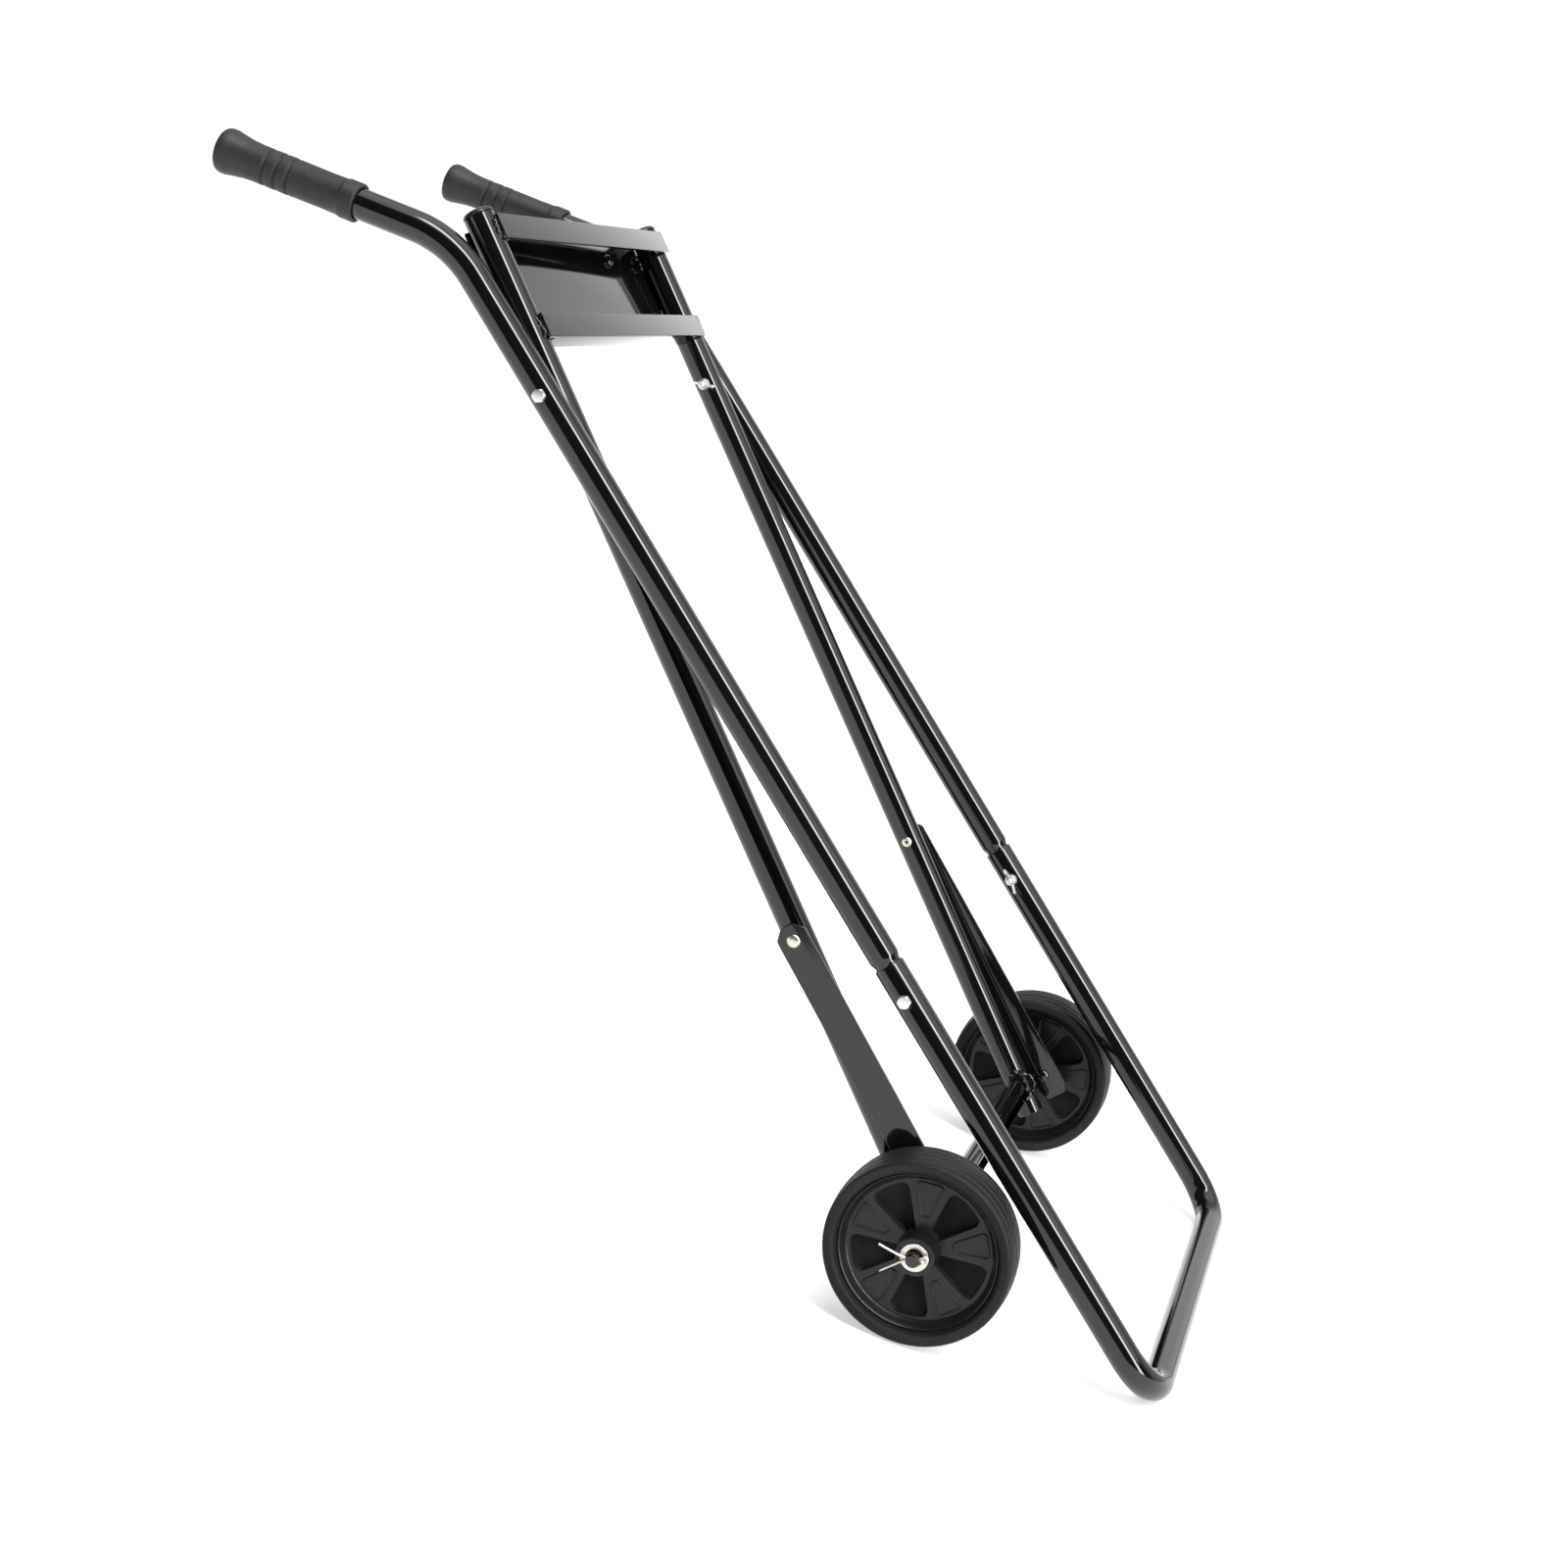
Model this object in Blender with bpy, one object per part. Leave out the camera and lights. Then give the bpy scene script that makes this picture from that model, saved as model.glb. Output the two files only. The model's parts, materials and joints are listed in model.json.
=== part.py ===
"""Folding outboard motor cart (hand truck): CAD source.

Two crossing tube frames share one bolt line.  The outer frame is a pair of
handle tubes slipped into a U-shaped foot; the inner frame carries the motor
bars, the struts, the axle and the wheels.  Every piece is laid out in the
plane of the outer frame, as (x, behind, along): x across the cart, "behind"
square to the handle tubes towards the wheels, "along" up the handle tubes
from the centre line of the foot.  finish() then leans that plane back, with
TO_WORLD, until tyres and foot rest on z = 0.
"""
import math

import bmesh
import bpy
from mathutils import Matrix, Vector

MM = 0.001
GAP = 0.3 * MM                  # clearance between pieces that touch
SIDES = 20                      # facets round a tube
BEND_STEPS = 6                  # rings along a bend, less one

TUBE_D = 25.0 * MM
TUBE_WALL = 1.5 * MM
FRAME_WIDTH = 470.0 * MM        # outer width of the foot and handle tubes

FOOT_BEND_R = 42.0 * MM         # centre-line radius of the foot corners
SOCKET_ALONG = 400.0 * MM       # mouth of the foot tube
JOINT_ALONG = 370.0 * MM        # slip joint bolt
SPIGOT_FIT = 0.4 * MM           # round the necked-down end of the handle tube
SPIGOT_DEPTH = 62.0 * MM
NECK_LENGTH = 9.0 * MM

PIVOT_ALONG = 918.0 * MM        # bolt line shared by the two frames
BEND_ALONG = 1058.0 * MM        # corner of the handle bend
BEND_ANGLE = math.radians(37.0)
BEND_R = 100.0 * MM
GRIP_START = 83.0 * MM          # from the bend corner to the grip collar
GRIP_LENGTH = 125.0 * MM
GRIP_WALL = 2.0 * MM
COLLAR_WALL = 3.25 * MM
FLARE_WALL = 5.75 * MM

FOLD_CLEAR = 1.557 * MM         # folded, from a tyre to the tube in front of it
SIDE_GAP = 1.5 * MM             # between a handle tube and a motor tube
MOTOR_TOP = 152.0 * MM          # motor tube above the pivot
MOTOR_FOOT = 756.0 * MM         # motor tube below the pivot
AXLE_DOWN = 728.0 * MM          # axle below the pivot, down the motor tube
AXLE_FRONT = 4.0 * MM           # axle in front of the motor tube's centre
BAR_HEIGHT = 20.5 * MM
BAR_THICK = 3.6 * MM
UPPER_BAR_UP = 137.0 * MM       # middle of the upper bar above the pivot
LOWER_BAR_UP = 52.5 * MM        # middle of the lower bar above the pivot
BAR_FLANGE = 18.0 * MM
PLATE_THICK = 2.5 * MM
PLATE_OVER = 6.0 * MM           # plate past the middle of each motor tube
PLATE_HEIGHT = 92.0 * MM
PLATE_UP = 98.0 * MM            # middle of the back plate above the pivot

CROSS_D = 22.0 * MM
AXLE_D = 12.0 * MM
STRUT_WIDTH = 26.5 * MM
STRUT_THICK = 3.5 * MM
STRUT_RIVET_DOWN = 470.0 * MM
STRUT_PAST_AXLE = 20.0 * MM
STRUT_SPREAD = 3.9 * MM         # outward run of a strut between rivet and axle
RIVET_D = 6.0 * MM
RIVET_HEAD_D = 11.0 * MM
RIVET_BORE_D = 3.2 * MM

WHEEL_D = 154.0 * MM
HUB_PLAY = 0.8 * MM             # between strut and hub
TYRE_WIDTH = 44.0 * MM
RIM_D = 130.0 * MM
HUB_D = 32.0 * MM
HUB_LENGTH = 48.0 * MM
RIM_LIP = 15.0 * MM             # edge of the wheel centre from its middle plane
RIM_WEB = 7.5 * MM              # raised panels from the middle plane
PANELS = 5                      # raised panels, with as many pockets between
WASHER_D = 23.0 * MM
WASHER_THICK = 1.5 * MM
PIN_WIRE_R = 0.95 * MM
PIN_TURN = math.radians(17)     # legs below level

BOLT_D = 6.0 * MM
BOLT_HEX = 10.0 * MM
BOLT_HEAD = 4.0 * MM
NUT_D = 11.0 * MM
NUT_HEIGHT = 7.0 * MM
WING_SPAN = 26.0 * MM

TUBE_R = TUBE_D / 2
HANDLE_X = FRAME_WIDTH / 2 - TUBE_R
MOTOR_X = HANDLE_X - TUBE_D - SIDE_GAP
SPIGOT_D = TUBE_D - 2 * (TUBE_WALL + SPIGOT_FIT)
GRIP_D = TUBE_D + 2 * GRIP_WALL
COLLAR_D = TUBE_D + 2 * COLLAR_WALL
FLARE_D = TUBE_D + 2 * FLARE_WALL
PLATE_WIDTH = 2 * (MOTOR_X + PLATE_OVER)
STRUT_FACE = MOTOR_X + TUBE_R + GAP + STRUT_THICK + STRUT_SPREAD
WHEEL_CENTRE = STRUT_FACE + HUB_PLAY + HUB_LENGTH / 2

AXLE_REACH = math.hypot(AXLE_DOWN, AXLE_FRONT)
FOLD_ROOM = WHEEL_D / 2 + TUBE_R + FOLD_CLEAR
FRAME_ANGLE = math.asin(FOLD_ROOM / AXLE_REACH) + math.atan2(AXLE_FRONT, AXLE_DOWN)

SIN_F = math.sin(FRAME_ANGLE)
COS_F = math.cos(FRAME_ANGLE)


def motor(x, front, down):
    """Point of the inner frame: down its tubes from the pivot, and in front of them."""
    behind = down * SIN_F - front * COS_F
    along = PIVOT_ALONG - down * COS_F - front * SIN_F
    return Vector((x, behind, along))


def outer(x, behind, along):
    """Point of the outer frame."""
    return Vector((x, behind, along))


AXLE_AT = motor(0, AXLE_FRONT, AXLE_DOWN)
REACH = math.hypot(AXLE_AT.y, AXLE_AT.z)
GROUND = math.atan2(AXLE_AT.y, AXLE_AT.z) + math.asin((WHEEL_D / 2 - TUBE_R) / REACH)
LEAN = math.pi / 2 - GROUND     # handle tubes from upright
TO_WORLD = Matrix.Translation((0, 0, TUBE_R)) @ Matrix.Rotation(-LEAN, 4, 'X')

for old in list(bpy.data.objects):
    bpy.data.objects.remove(old, do_unlink=True)
for old in list(bpy.data.collections):
    bpy.data.collections.remove(old)

PARTS = bpy.data.collections.new("hand_truck")
CUTTERS = bpy.data.collections.new("cutters")
bpy.context.scene.collection.children.link(PARTS)
bpy.context.scene.collection.children.link(CUTTERS)


def material(name, colour, roughness, metallic):
    mat = bpy.data.materials.new(name)
    mat.use_nodes = True
    shader = mat.node_tree.nodes["Principled BSDF"]
    shader.inputs["Base Color"].default_value = (*colour, 1.0)
    shader.inputs["Roughness"].default_value = roughness
    shader.inputs["Metallic"].default_value = metallic
    mat.diffuse_color = (*colour, 1.0)
    return mat


MATERIALS = {
    "paint": ((0.012, 0.012, 0.013), 0.16, 0.0),
    "zinc": ((0.72, 0.73, 0.74), 0.30, 1.0),
    "nickel": ((0.78, 0.74, 0.68), 0.22, 1.0),
    "grip_rubber": ((0.022, 0.022, 0.023), 0.75, 0.0),
    "tyre_rubber": ((0.030, 0.030, 0.030), 0.70, 0.0),
    "rim_plastic": ((0.016, 0.016, 0.017), 0.42, 0.0),
    "cap_plastic": ((0.018, 0.018, 0.019), 0.35, 0.0),
}


# ---------------------------------------------------------------- mesh builders

def mesh_from(name, verts, faces):
    mesh = bpy.data.meshes.new(name)
    mesh.from_pydata([tuple(v) for v in verts], [], faces)
    bm = bmesh.new()
    bm.from_mesh(mesh)
    bmesh.ops.recalc_face_normals(bm, faces=bm.faces)
    bm.to_mesh(mesh)
    bm.free()
    return mesh


def ring_points(centre, side, up, radius, sides, turn=0.0):
    out = []
    for k in range(sides):
        angle = turn + 2 * math.pi * k / sides
        out.append(centre + side * (radius * math.cos(angle)) + up * (radius * math.sin(angle)))
    return out


def sweep(name, path, radii, sides=SIDES, closed=False, side=None):
    """Rings of the given radii set square to a path and skinned.

    With closed=True the last ring joins the first, so a path that runs out
    along an outer wall and back along an inner wall makes a tube.
    """
    verts = []
    faces = []
    count = len(path)
    for i, point in enumerate(path):
        centre, tangent = point
        across = side if side is not None else Vector((1, 0, 0))
        up = tangent.cross(across).normalized()
        flat = up.cross(tangent).normalized()
        verts += ring_points(centre, flat, up, radii[i], sides)
    last = count if closed else count - 1
    for i in range(last):
        a = i * sides
        b = ((i + 1) % count) * sides
        for k in range(sides):
            n = (k + 1) % sides
            faces.append((a + k, a + n, b + n, b + k))
    if not closed:
        faces.append(tuple(range(sides)))
        faces.append(tuple((count - 1) * sides + k for k in range(sides)))
    return mesh_from(name, verts, faces)


def pipe(name, stations, wall, sides=SIDES, side=None):
    """Tube with open ends: stations are (centre, tangent, outer radius)."""
    path = [(c, t) for c, t, r in stations]
    radii = [r for c, t, r in stations]
    back = [(c, t) for c, t, r in reversed(stations)]
    inner = [r - wall for c, t, r in reversed(stations)]
    return sweep(name, path + back, radii + inner, sides, closed=True, side=side)


def lathe(name, profile, sides, closed=True, bore=True):
    """Turn (radius, x) points about the x axis; a profile clear of the axis closes on itself."""
    verts = []
    faces = []
    count = len(profile)
    for radius, x in profile:
        for k in range(sides):
            angle = 2 * math.pi * (k + 0.5) / sides
            verts.append((x, radius * math.cos(angle), radius * math.sin(angle)))
    last = count if bore else count - 1
    for i in range(last):
        a = i * sides
        b = ((i + 1) % count) * sides
        for k in range(sides):
            n = (k + 1) % sides
            faces.append((a + k, a + n, b + n, b + k))
    if not bore:
        faces.append(tuple(range(sides)))
        faces.append(tuple((count - 1) * sides + k for k in range(sides)))
    return mesh_from(name, verts, faces)


def prism(name, outline, low, high):
    """Outline of (y, z) points pushed out along x from low to high."""
    count = len(outline)
    verts = [(low, y, z) for y, z in outline] + [(high, y, z) for y, z in outline]
    faces = [tuple(range(count)), tuple(range(count, 2 * count))]
    for k in range(count):
        n = (k + 1) % count
        faces.append((k, n, count + n, count + k))
    return mesh_from(name, verts, faces)


def box(name, size, at=(0, 0, 0)):
    sx, sy, sz = (s / 2 for s in size)
    outline = [(at[1] - sy, at[2] - sz), (at[1] + sy, at[2] - sz),
               (at[1] + sy, at[2] + sz), (at[1] - sy, at[2] + sz)]
    return prism(name, outline, at[0] - sx, at[0] + sx)


def moved(mesh, matrix):
    mesh.transform(matrix)
    return mesh


def spin_to(direction):
    """Rotation that carries +x onto a direction."""
    return Vector((1, 0, 0)).rotation_difference(direction).to_matrix().to_4x4()


# ---------------------------------------------------------------- placing pieces

def finish(name, mesh, look, origin, smooth=True):
    """Link a mesh given in plane coordinates as a piece whose origin is a plane point."""
    start = TO_WORLD @ Vector(origin)
    mesh.transform(TO_WORLD)
    mesh.transform(Matrix.Translation(-start))
    mesh.materials.clear()
    colour, roughness, metallic = MATERIALS[look]
    mesh.materials.append(material(name, colour, roughness, metallic))
    obj = bpy.data.objects.new(name, mesh)
    PARTS.objects.link(obj)
    obj.location = start
    if smooth:
        mesh.shade_smooth()
        mesh.set_sharp_from_angle(angle=math.radians(38))
    return obj


def temporary(name, mesh):
    obj = bpy.data.objects.new(name, mesh)
    CUTTERS.objects.link(obj)
    obj.hide_render = True
    obj.display_type = 'WIRE'
    return obj


def combine(mesh, others, operation):
    """Exact Boolean of a mesh with a list of meshes, baked into a new mesh."""
    base = temporary("cut_base", mesh)
    for k, other in enumerate(others):
        tool = temporary("cut_tool", other)
        mod = base.modifiers.new("cut%02d" % k, 'BOOLEAN')
        mod.operation = operation
        mod.solver = 'EXACT'
        mod.object = tool
    bpy.context.view_layer.update()
    graph = bpy.context.evaluated_depsgraph_get()
    out = bpy.data.meshes.new_from_object(base.evaluated_get(graph))
    for obj in list(CUTTERS.objects):
        bpy.data.objects.remove(obj, do_unlink=True)
    bm = bmesh.new()
    bm.from_mesh(out)
    bmesh.ops.remove_doubles(bm, verts=bm.verts, dist=0.00002)
    bmesh.ops.dissolve_degenerate(bm, edges=bm.edges, dist=0.00002)
    bm.to_mesh(out)
    bm.free()
    return out


def drill(centre, direction, radius, length, sides=12):
    """Cylinder cutter through a point."""
    mesh = lathe("drill", [(radius, -length / 2), (radius, length / 2)], sides, bore=False)
    turn = spin_to(Vector(direction).normalized())
    return moved(mesh, Matrix.Translation(centre) @ turn)


def arc(centre, start, axis, angle, steps, radius):
    """Stations round a bend: start is the unit vector from the centre to the first one."""
    out = []
    for k in range(steps + 1):
        turn = Matrix.Rotation(angle * k / steps, 3, axis)
        spoke = turn @ start
        tangent = Vector(axis).cross(spoke) * math.copysign(1, angle)
        out.append((centre + spoke * radius, tangent.normalized()))
    return out


ACROSS = Vector((1, 0, 0))
BEHIND = Vector((0, 1, 0))
ALONG = Vector((0, 0, 1))
DOWN_MOTOR = (motor(0, 0, 1.0) - motor(0, 0, 0)).normalized()
FRONT_MOTOR = (motor(0, 1.0, 0) - motor(0, 0, 0)).normalized()

SIDES_OF_CART = (("left", -1), ("right", 1))
BOLT_HOLE_R = BOLT_D / 2 + GAP
AXLE_HOLE_R = AXLE_D / 2 + GAP


# ---------------------------------------------------------------- foot frame

def foot_frame():
    """U-shaped tube: two uprights, two tight corners and the bar on the floor."""
    reach = FOOT_BEND_R
    stations = [(outer(-HANDLE_X, 0, SOCKET_ALONG), -ALONG)]
    corner = outer(-HANDLE_X + reach, 0, reach)
    stations += arc(corner, -ACROSS, (0, 1, 0), -math.pi / 2, BEND_STEPS, reach)
    corner = outer(HANDLE_X - reach, 0, reach)
    stations += arc(corner, -ALONG, (0, 1, 0), -math.pi / 2, BEND_STEPS, reach)
    stations.append((outer(HANDLE_X, 0, SOCKET_ALONG), ALONG))
    mesh = pipe("foot_frame", [(c, t, TUBE_R) for c, t in stations], TUBE_WALL, side=BEHIND)
    holes = [drill(outer(s * HANDLE_X, 0, JOINT_ALONG), ACROSS, BOLT_HOLE_R, 2 * TUBE_D)
             for _, s in SIDES_OF_CART]
    return combine(mesh, holes, 'DIFFERENCE')


finish("foot_frame", foot_frame(), "paint", outer(0, 0, 0))


# ---------------------------------------------------------------- handle tubes and grips

HANDLE_DIR = Vector((0, math.sin(BEND_ANGLE), math.cos(BEND_ANGLE)))


def handle_tube(sign):
    """Bent tube with a necked-down spigot at its lower end."""
    x = sign * HANDLE_X
    tangent = BEND_R * math.tan(BEND_ANGLE / 2)
    neck = SOCKET_ALONG + 2 * MM
    stations = [(outer(x, 0, SOCKET_ALONG - SPIGOT_DEPTH), ALONG, SPIGOT_D / 2)]
    stations.append((outer(x, 0, neck), ALONG, SPIGOT_D / 2))
    for k in range(1, 4):
        share = k / 3
        ease = share * share * (3 - 2 * share)
        radius = SPIGOT_D / 2 + (TUBE_R - SPIGOT_D / 2) * ease
        stations.append((outer(x, 0, neck + NECK_LENGTH * share), ALONG, radius))
    centre = outer(x, BEND_R, BEND_ALONG - tangent)
    bend = arc(centre, -BEHIND, (1, 0, 0), -BEND_ANGLE, BEND_STEPS, BEND_R)
    stations += [(c, t, TUBE_R) for c, t in bend]
    end = outer(x, 0, BEND_ALONG) + HANDLE_DIR * (GRIP_START + GRIP_LENGTH - 6 * MM)
    stations.append((end, HANDLE_DIR, TUBE_R))
    mesh = pipe("handle", stations, TUBE_WALL)
    holes = [drill(outer(x, 0, at), ACROSS, BOLT_HOLE_R, 2 * TUBE_D)
             for at in (JOINT_ALONG, PIVOT_ALONG)]
    return combine(mesh, holes, 'DIFFERENCE')


def grip(sign):
    """Rubber sleeve, closed at its flared end, with three grooves and a stepped collar."""
    base = outer(sign * HANDLE_X, 0, BEND_ALONG) + HANDLE_DIR * GRIP_START
    body = GRIP_D / 2
    length = GRIP_LENGTH
    profile = [(COLLAR_D / 2 - 1 * MM, 0), (COLLAR_D / 2, 1.2 * MM), (COLLAR_D / 2, 13 * MM),
               (body + 0.4 * MM, 15 * MM), (body - 0.3 * MM, 42 * MM)]
    for k in range(3):
        at = (57 + 11 * k) * MM
        profile += [(body, at), (body - 1.3 * MM, at + 1.5 * MM), (body, at + 3.0 * MM)]
    flare = FLARE_D / 2
    profile += [(body + 0.4 * MM, 90 * MM), (body + 1.2 * MM, 100 * MM), (flare - 1.4 * MM, 110 * MM),
                (flare, 117 * MM), (flare - 1.2 * MM, 123 * MM), (flare - 6 * MM, length)]
    bore = TUBE_R + GAP
    profile += [(2.2 * MM, length), (2.2 * MM, length - 5 * MM), (bore, length - 5 * MM), (bore, 0)]
    mesh = lathe("grip", profile, SIDES)
    turn = spin_to(HANDLE_DIR)
    return moved(mesh, Matrix.Translation(base) @ turn), base


for word, sign in SIDES_OF_CART:
    finish(word + "_handle_tube", handle_tube(sign), "paint", outer(sign * HANDLE_X, 0, PIVOT_ALONG))
    sleeve, sleeve_base = grip(sign)
    finish(word + "_grip", sleeve, "grip_rubber", sleeve_base)


# ---------------------------------------------------------------- motor frame

def motor_tube(sign):
    """Straight tube from its cap down past the axle."""
    x = sign * MOTOR_X
    top = motor(x, 0, -MOTOR_TOP)
    foot = motor(x, 0, MOTOR_FOOT)
    mesh = pipe("motor_tube", [(top, DOWN_MOTOR, TUBE_R), (foot, DOWN_MOTOR, TUBE_R)], TUBE_WALL)
    holes = [drill(motor(x, 0, 0), ACROSS, BOLT_HOLE_R, 2 * TUBE_D),
             drill(motor(x, 0, STRUT_RIVET_DOWN), ACROSS, RIVET_D / 2 + GAP, 2 * TUBE_D),
             drill(motor(x, AXLE_FRONT, AXLE_DOWN), ACROSS, AXLE_HOLE_R, 2 * TUBE_D, 20)]
    return combine(mesh, holes, 'DIFFERENCE')


def top_cap(sign):
    """Domed plastic plug with a short spigot inside the tube."""
    plug = TUBE_R - TUBE_WALL - GAP
    profile = [(plug, -12 * MM), (plug, GAP), (TUBE_R, GAP), (TUBE_R, 1.6 * MM),
               (TUBE_R * 0.86, 3.6 * MM), (TUBE_R * 0.5, 5.0 * MM)]
    mesh = lathe("top_cap", profile, SIDES, bore=False)
    place = Matrix.Translation(motor(sign * MOTOR_X, 0, -MOTOR_TOP)) @ spin_to(-DOWN_MOTOR)
    return moved(mesh, place)


def angle_bar(up, edge):
    """Bar across the front of both tubes; edge is 1 for a flange along its top, -1 along its foot."""
    half = MOTOR_X + 3 * MM
    face = -(TUBE_R + GAP)
    low = -BAR_HEIGHT / 2
    high = BAR_HEIGHT / 2
    inner = MOTOR_X - TUBE_R - GAP
    front = [(face, low), (face, high), (face - BAR_THICK, high), (face - BAR_THICK, low)]
    bar = prism("bar", front, -half, half)
    outside = edge * high
    inside = edge * (high - BAR_THICK * 0.8)
    root = face - BAR_THICK / 2
    tip = face + BAR_FLANGE
    shelf = [(root, outside), (tip, outside), (tip, inside), (root, inside)]
    web = prism("shelf", shelf, -inner, inner)
    mesh = combine(bar, [web], 'UNION')
    place = Matrix.Translation(motor(0, 0, -up)) @ Matrix.Rotation(FRAME_ANGLE, 4, 'X')
    return moved(mesh, place)


def back_plate():
    """Sheet closing the back of the tubes."""
    behind = TUBE_R + GAP
    mesh = box("plate", (PLATE_WIDTH, PLATE_THICK, PLATE_HEIGHT), (0, behind + PLATE_THICK / 2, 0))
    place = Matrix.Translation(motor(0, 0, -PLATE_UP)) @ Matrix.Rotation(FRAME_ANGLE, 4, 'X')
    return moved(mesh, place)


for word, sign in SIDES_OF_CART:
    finish(word + "_motor_tube", motor_tube(sign), "paint", motor(sign * MOTOR_X, 0, 0))
    finish(word + "_top_cap", top_cap(sign), "cap_plastic", motor(sign * MOTOR_X, 0, -MOTOR_TOP))

finish("upper_motor_bar", angle_bar(UPPER_BAR_UP, 1), "paint", motor(0, 0, -UPPER_BAR_UP), False)
finish("lower_motor_bar", angle_bar(LOWER_BAR_UP, -1), "paint", motor(0, 0, -LOWER_BAR_UP), False)
finish("back_plate", back_plate(), "paint", motor(0, 0, -PLATE_UP), False)


# ---------------------------------------------------------------- cross tube, axle and struts

def cross_tube():
    """Axle housing between the motor tubes, its ends coped round them."""
    ends = [(outer(s * MOTOR_X, AXLE_AT.y, AXLE_AT.z), ACROSS, CROSS_D / 2) for s in (-1, 1)]
    mesh = pipe("cross_tube", ends, CROSS_D / 2 - AXLE_HOLE_R, side=ALONG)
    copes = [drill(motor(s * MOTOR_X, 0, AXLE_DOWN), DOWN_MOTOR, TUBE_R + GAP, 4 * TUBE_D, SIDES)
             for _, s in SIDES_OF_CART]
    return combine(mesh, copes, 'DIFFERENCE')


AXLE_HALF = WHEEL_CENTRE + HUB_LENGTH / 2 + 2 * GAP + WASHER_THICK + 7.5 * MM
PIN_X = AXLE_HALF - 4.4 * MM


def axle():
    """Rod through both wheels, chamfered and drilled for its split pins."""
    r = AXLE_D / 2
    end = AXLE_HALF
    profile = [(r - 1 * MM, -end), (r, 1 * MM - end), (r, end - 1 * MM), (r - 1 * MM, end)]
    mesh = moved(lathe("axle", profile, 20, bore=False), Matrix.Translation(AXLE_AT))
    through = Matrix.Rotation(LEAN - PIN_TURN, 3, 'X') @ BEHIND
    holes = [drill(AXLE_AT + ACROSS * (s * PIN_X), through, 2.4 * MM, 2 * AXLE_D, 12) for _, s in SIDES_OF_CART]
    return combine(mesh, holes, 'DIFFERENCE')


def strut(sign):
    """Flat bar riveted outside the motor tube, running down in front of the axle."""
    foot_front = AXLE_FRONT + AXLE_D / 2 + GAP + STRUT_WIDTH / 2
    slope = math.atan2(foot_front, AXLE_DOWN - STRUT_RIVET_DOWN)
    length = math.hypot(foot_front, AXLE_DOWN - STRUT_RIVET_DOWN) + STRUT_PAST_AXLE
    half = STRUT_WIDTH / 2
    outline = []
    chamfer = half * 0.41
    outline += [(half, chamfer), (chamfer, half), (-chamfer, half), (-half, chamfer)]
    for k in range(7):
        angle = math.pi + math.pi * k / 6
        outline.append((half * math.cos(angle), -length + half * 0.55 * math.sin(angle)))
    low = sign * (MOTOR_X + TUBE_R + GAP)
    high = low + sign * STRUT_THICK
    mesh = prism("strut", outline, min(low, high), max(low, high))
    mesh = combine(mesh, [drill(Vector((low, 0, 0)), ACROSS, RIVET_D / 2 + GAP, 4 * STRUT_THICK)], 'DIFFERENCE')
    hinge = Matrix.Translation((low, 0, half))
    spread = Matrix.Rotation(-sign * math.asin(STRUT_SPREAD / length), 4, 'Y')
    turn = Matrix.Rotation(FRAME_ANGLE - slope, 4, 'X')
    return moved(mesh, Matrix.Translation(motor(0, 0, STRUT_RIVET_DOWN)) @ turn @ hinge @ spread @ hinge.inverted())


def strut_rivet(sign):
    """Hollow rivet through the strut and the motor tube."""
    head = MOTOR_X + TUBE_R + GAP + STRUT_THICK + 2 * GAP
    tail = MOTOR_X - TUBE_R - GAP
    r = RIVET_D / 2
    hole = RIVET_BORE_D / 2
    big = RIVET_HEAD_D / 2
    profile = [(hole, tail - 1.4 * MM), (r + 0.9 * MM, tail - 1.4 * MM), (r + 1.5 * MM, tail - 0.5 * MM),
               (r + 1.5 * MM, tail), (r, tail), (r, head), (big, head), (big - 0.5 * MM, head + 0.9 * MM),
               (big - 2 * MM, head + 1.6 * MM), (hole, head + 1.9 * MM)]
    mesh = lathe("rivet", [(a, sign * b) for a, b in profile], 12)
    return moved(mesh, Matrix.Translation(motor(0, 0, STRUT_RIVET_DOWN)))


finish("cross_tube", cross_tube(), "paint", AXLE_AT)
finish("axle", axle(), "paint", AXLE_AT)
for word, sign in SIDES_OF_CART:
    at = motor(sign * (MOTOR_X + TUBE_R), 0, STRUT_RIVET_DOWN)
    finish(word + "_strut", strut(sign), "paint", at, False)
    finish(word + "_strut_rivet", strut_rivet(sign), "nickel", at)


# ---------------------------------------------------------------- wheels

def tyre(sign):
    """Solid tyre: flat sidewalls with a rounded shoulder and a slightly crowned tread."""
    half = TYRE_WIDTH / 2
    top = WHEEL_D / 2
    low = RIM_D / 2 + GAP
    profile = [(low, -half + 3 * MM), (low + 2.5 * MM, -half + 0.6 * MM), (low + 6 * MM, -half),
               (top - 4 * MM, -half + 1.5 * MM), (top - 1 * MM, -half + 5 * MM), (top, 0)]
    full = profile + [(r, -x) for r, x in reversed(profile[:-1])]
    mesh = lathe("tyre", full, 40)
    return moved(mesh, Matrix.Translation(AXLE_AT + ACROSS * (sign * WHEEL_CENTRE)))


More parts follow.
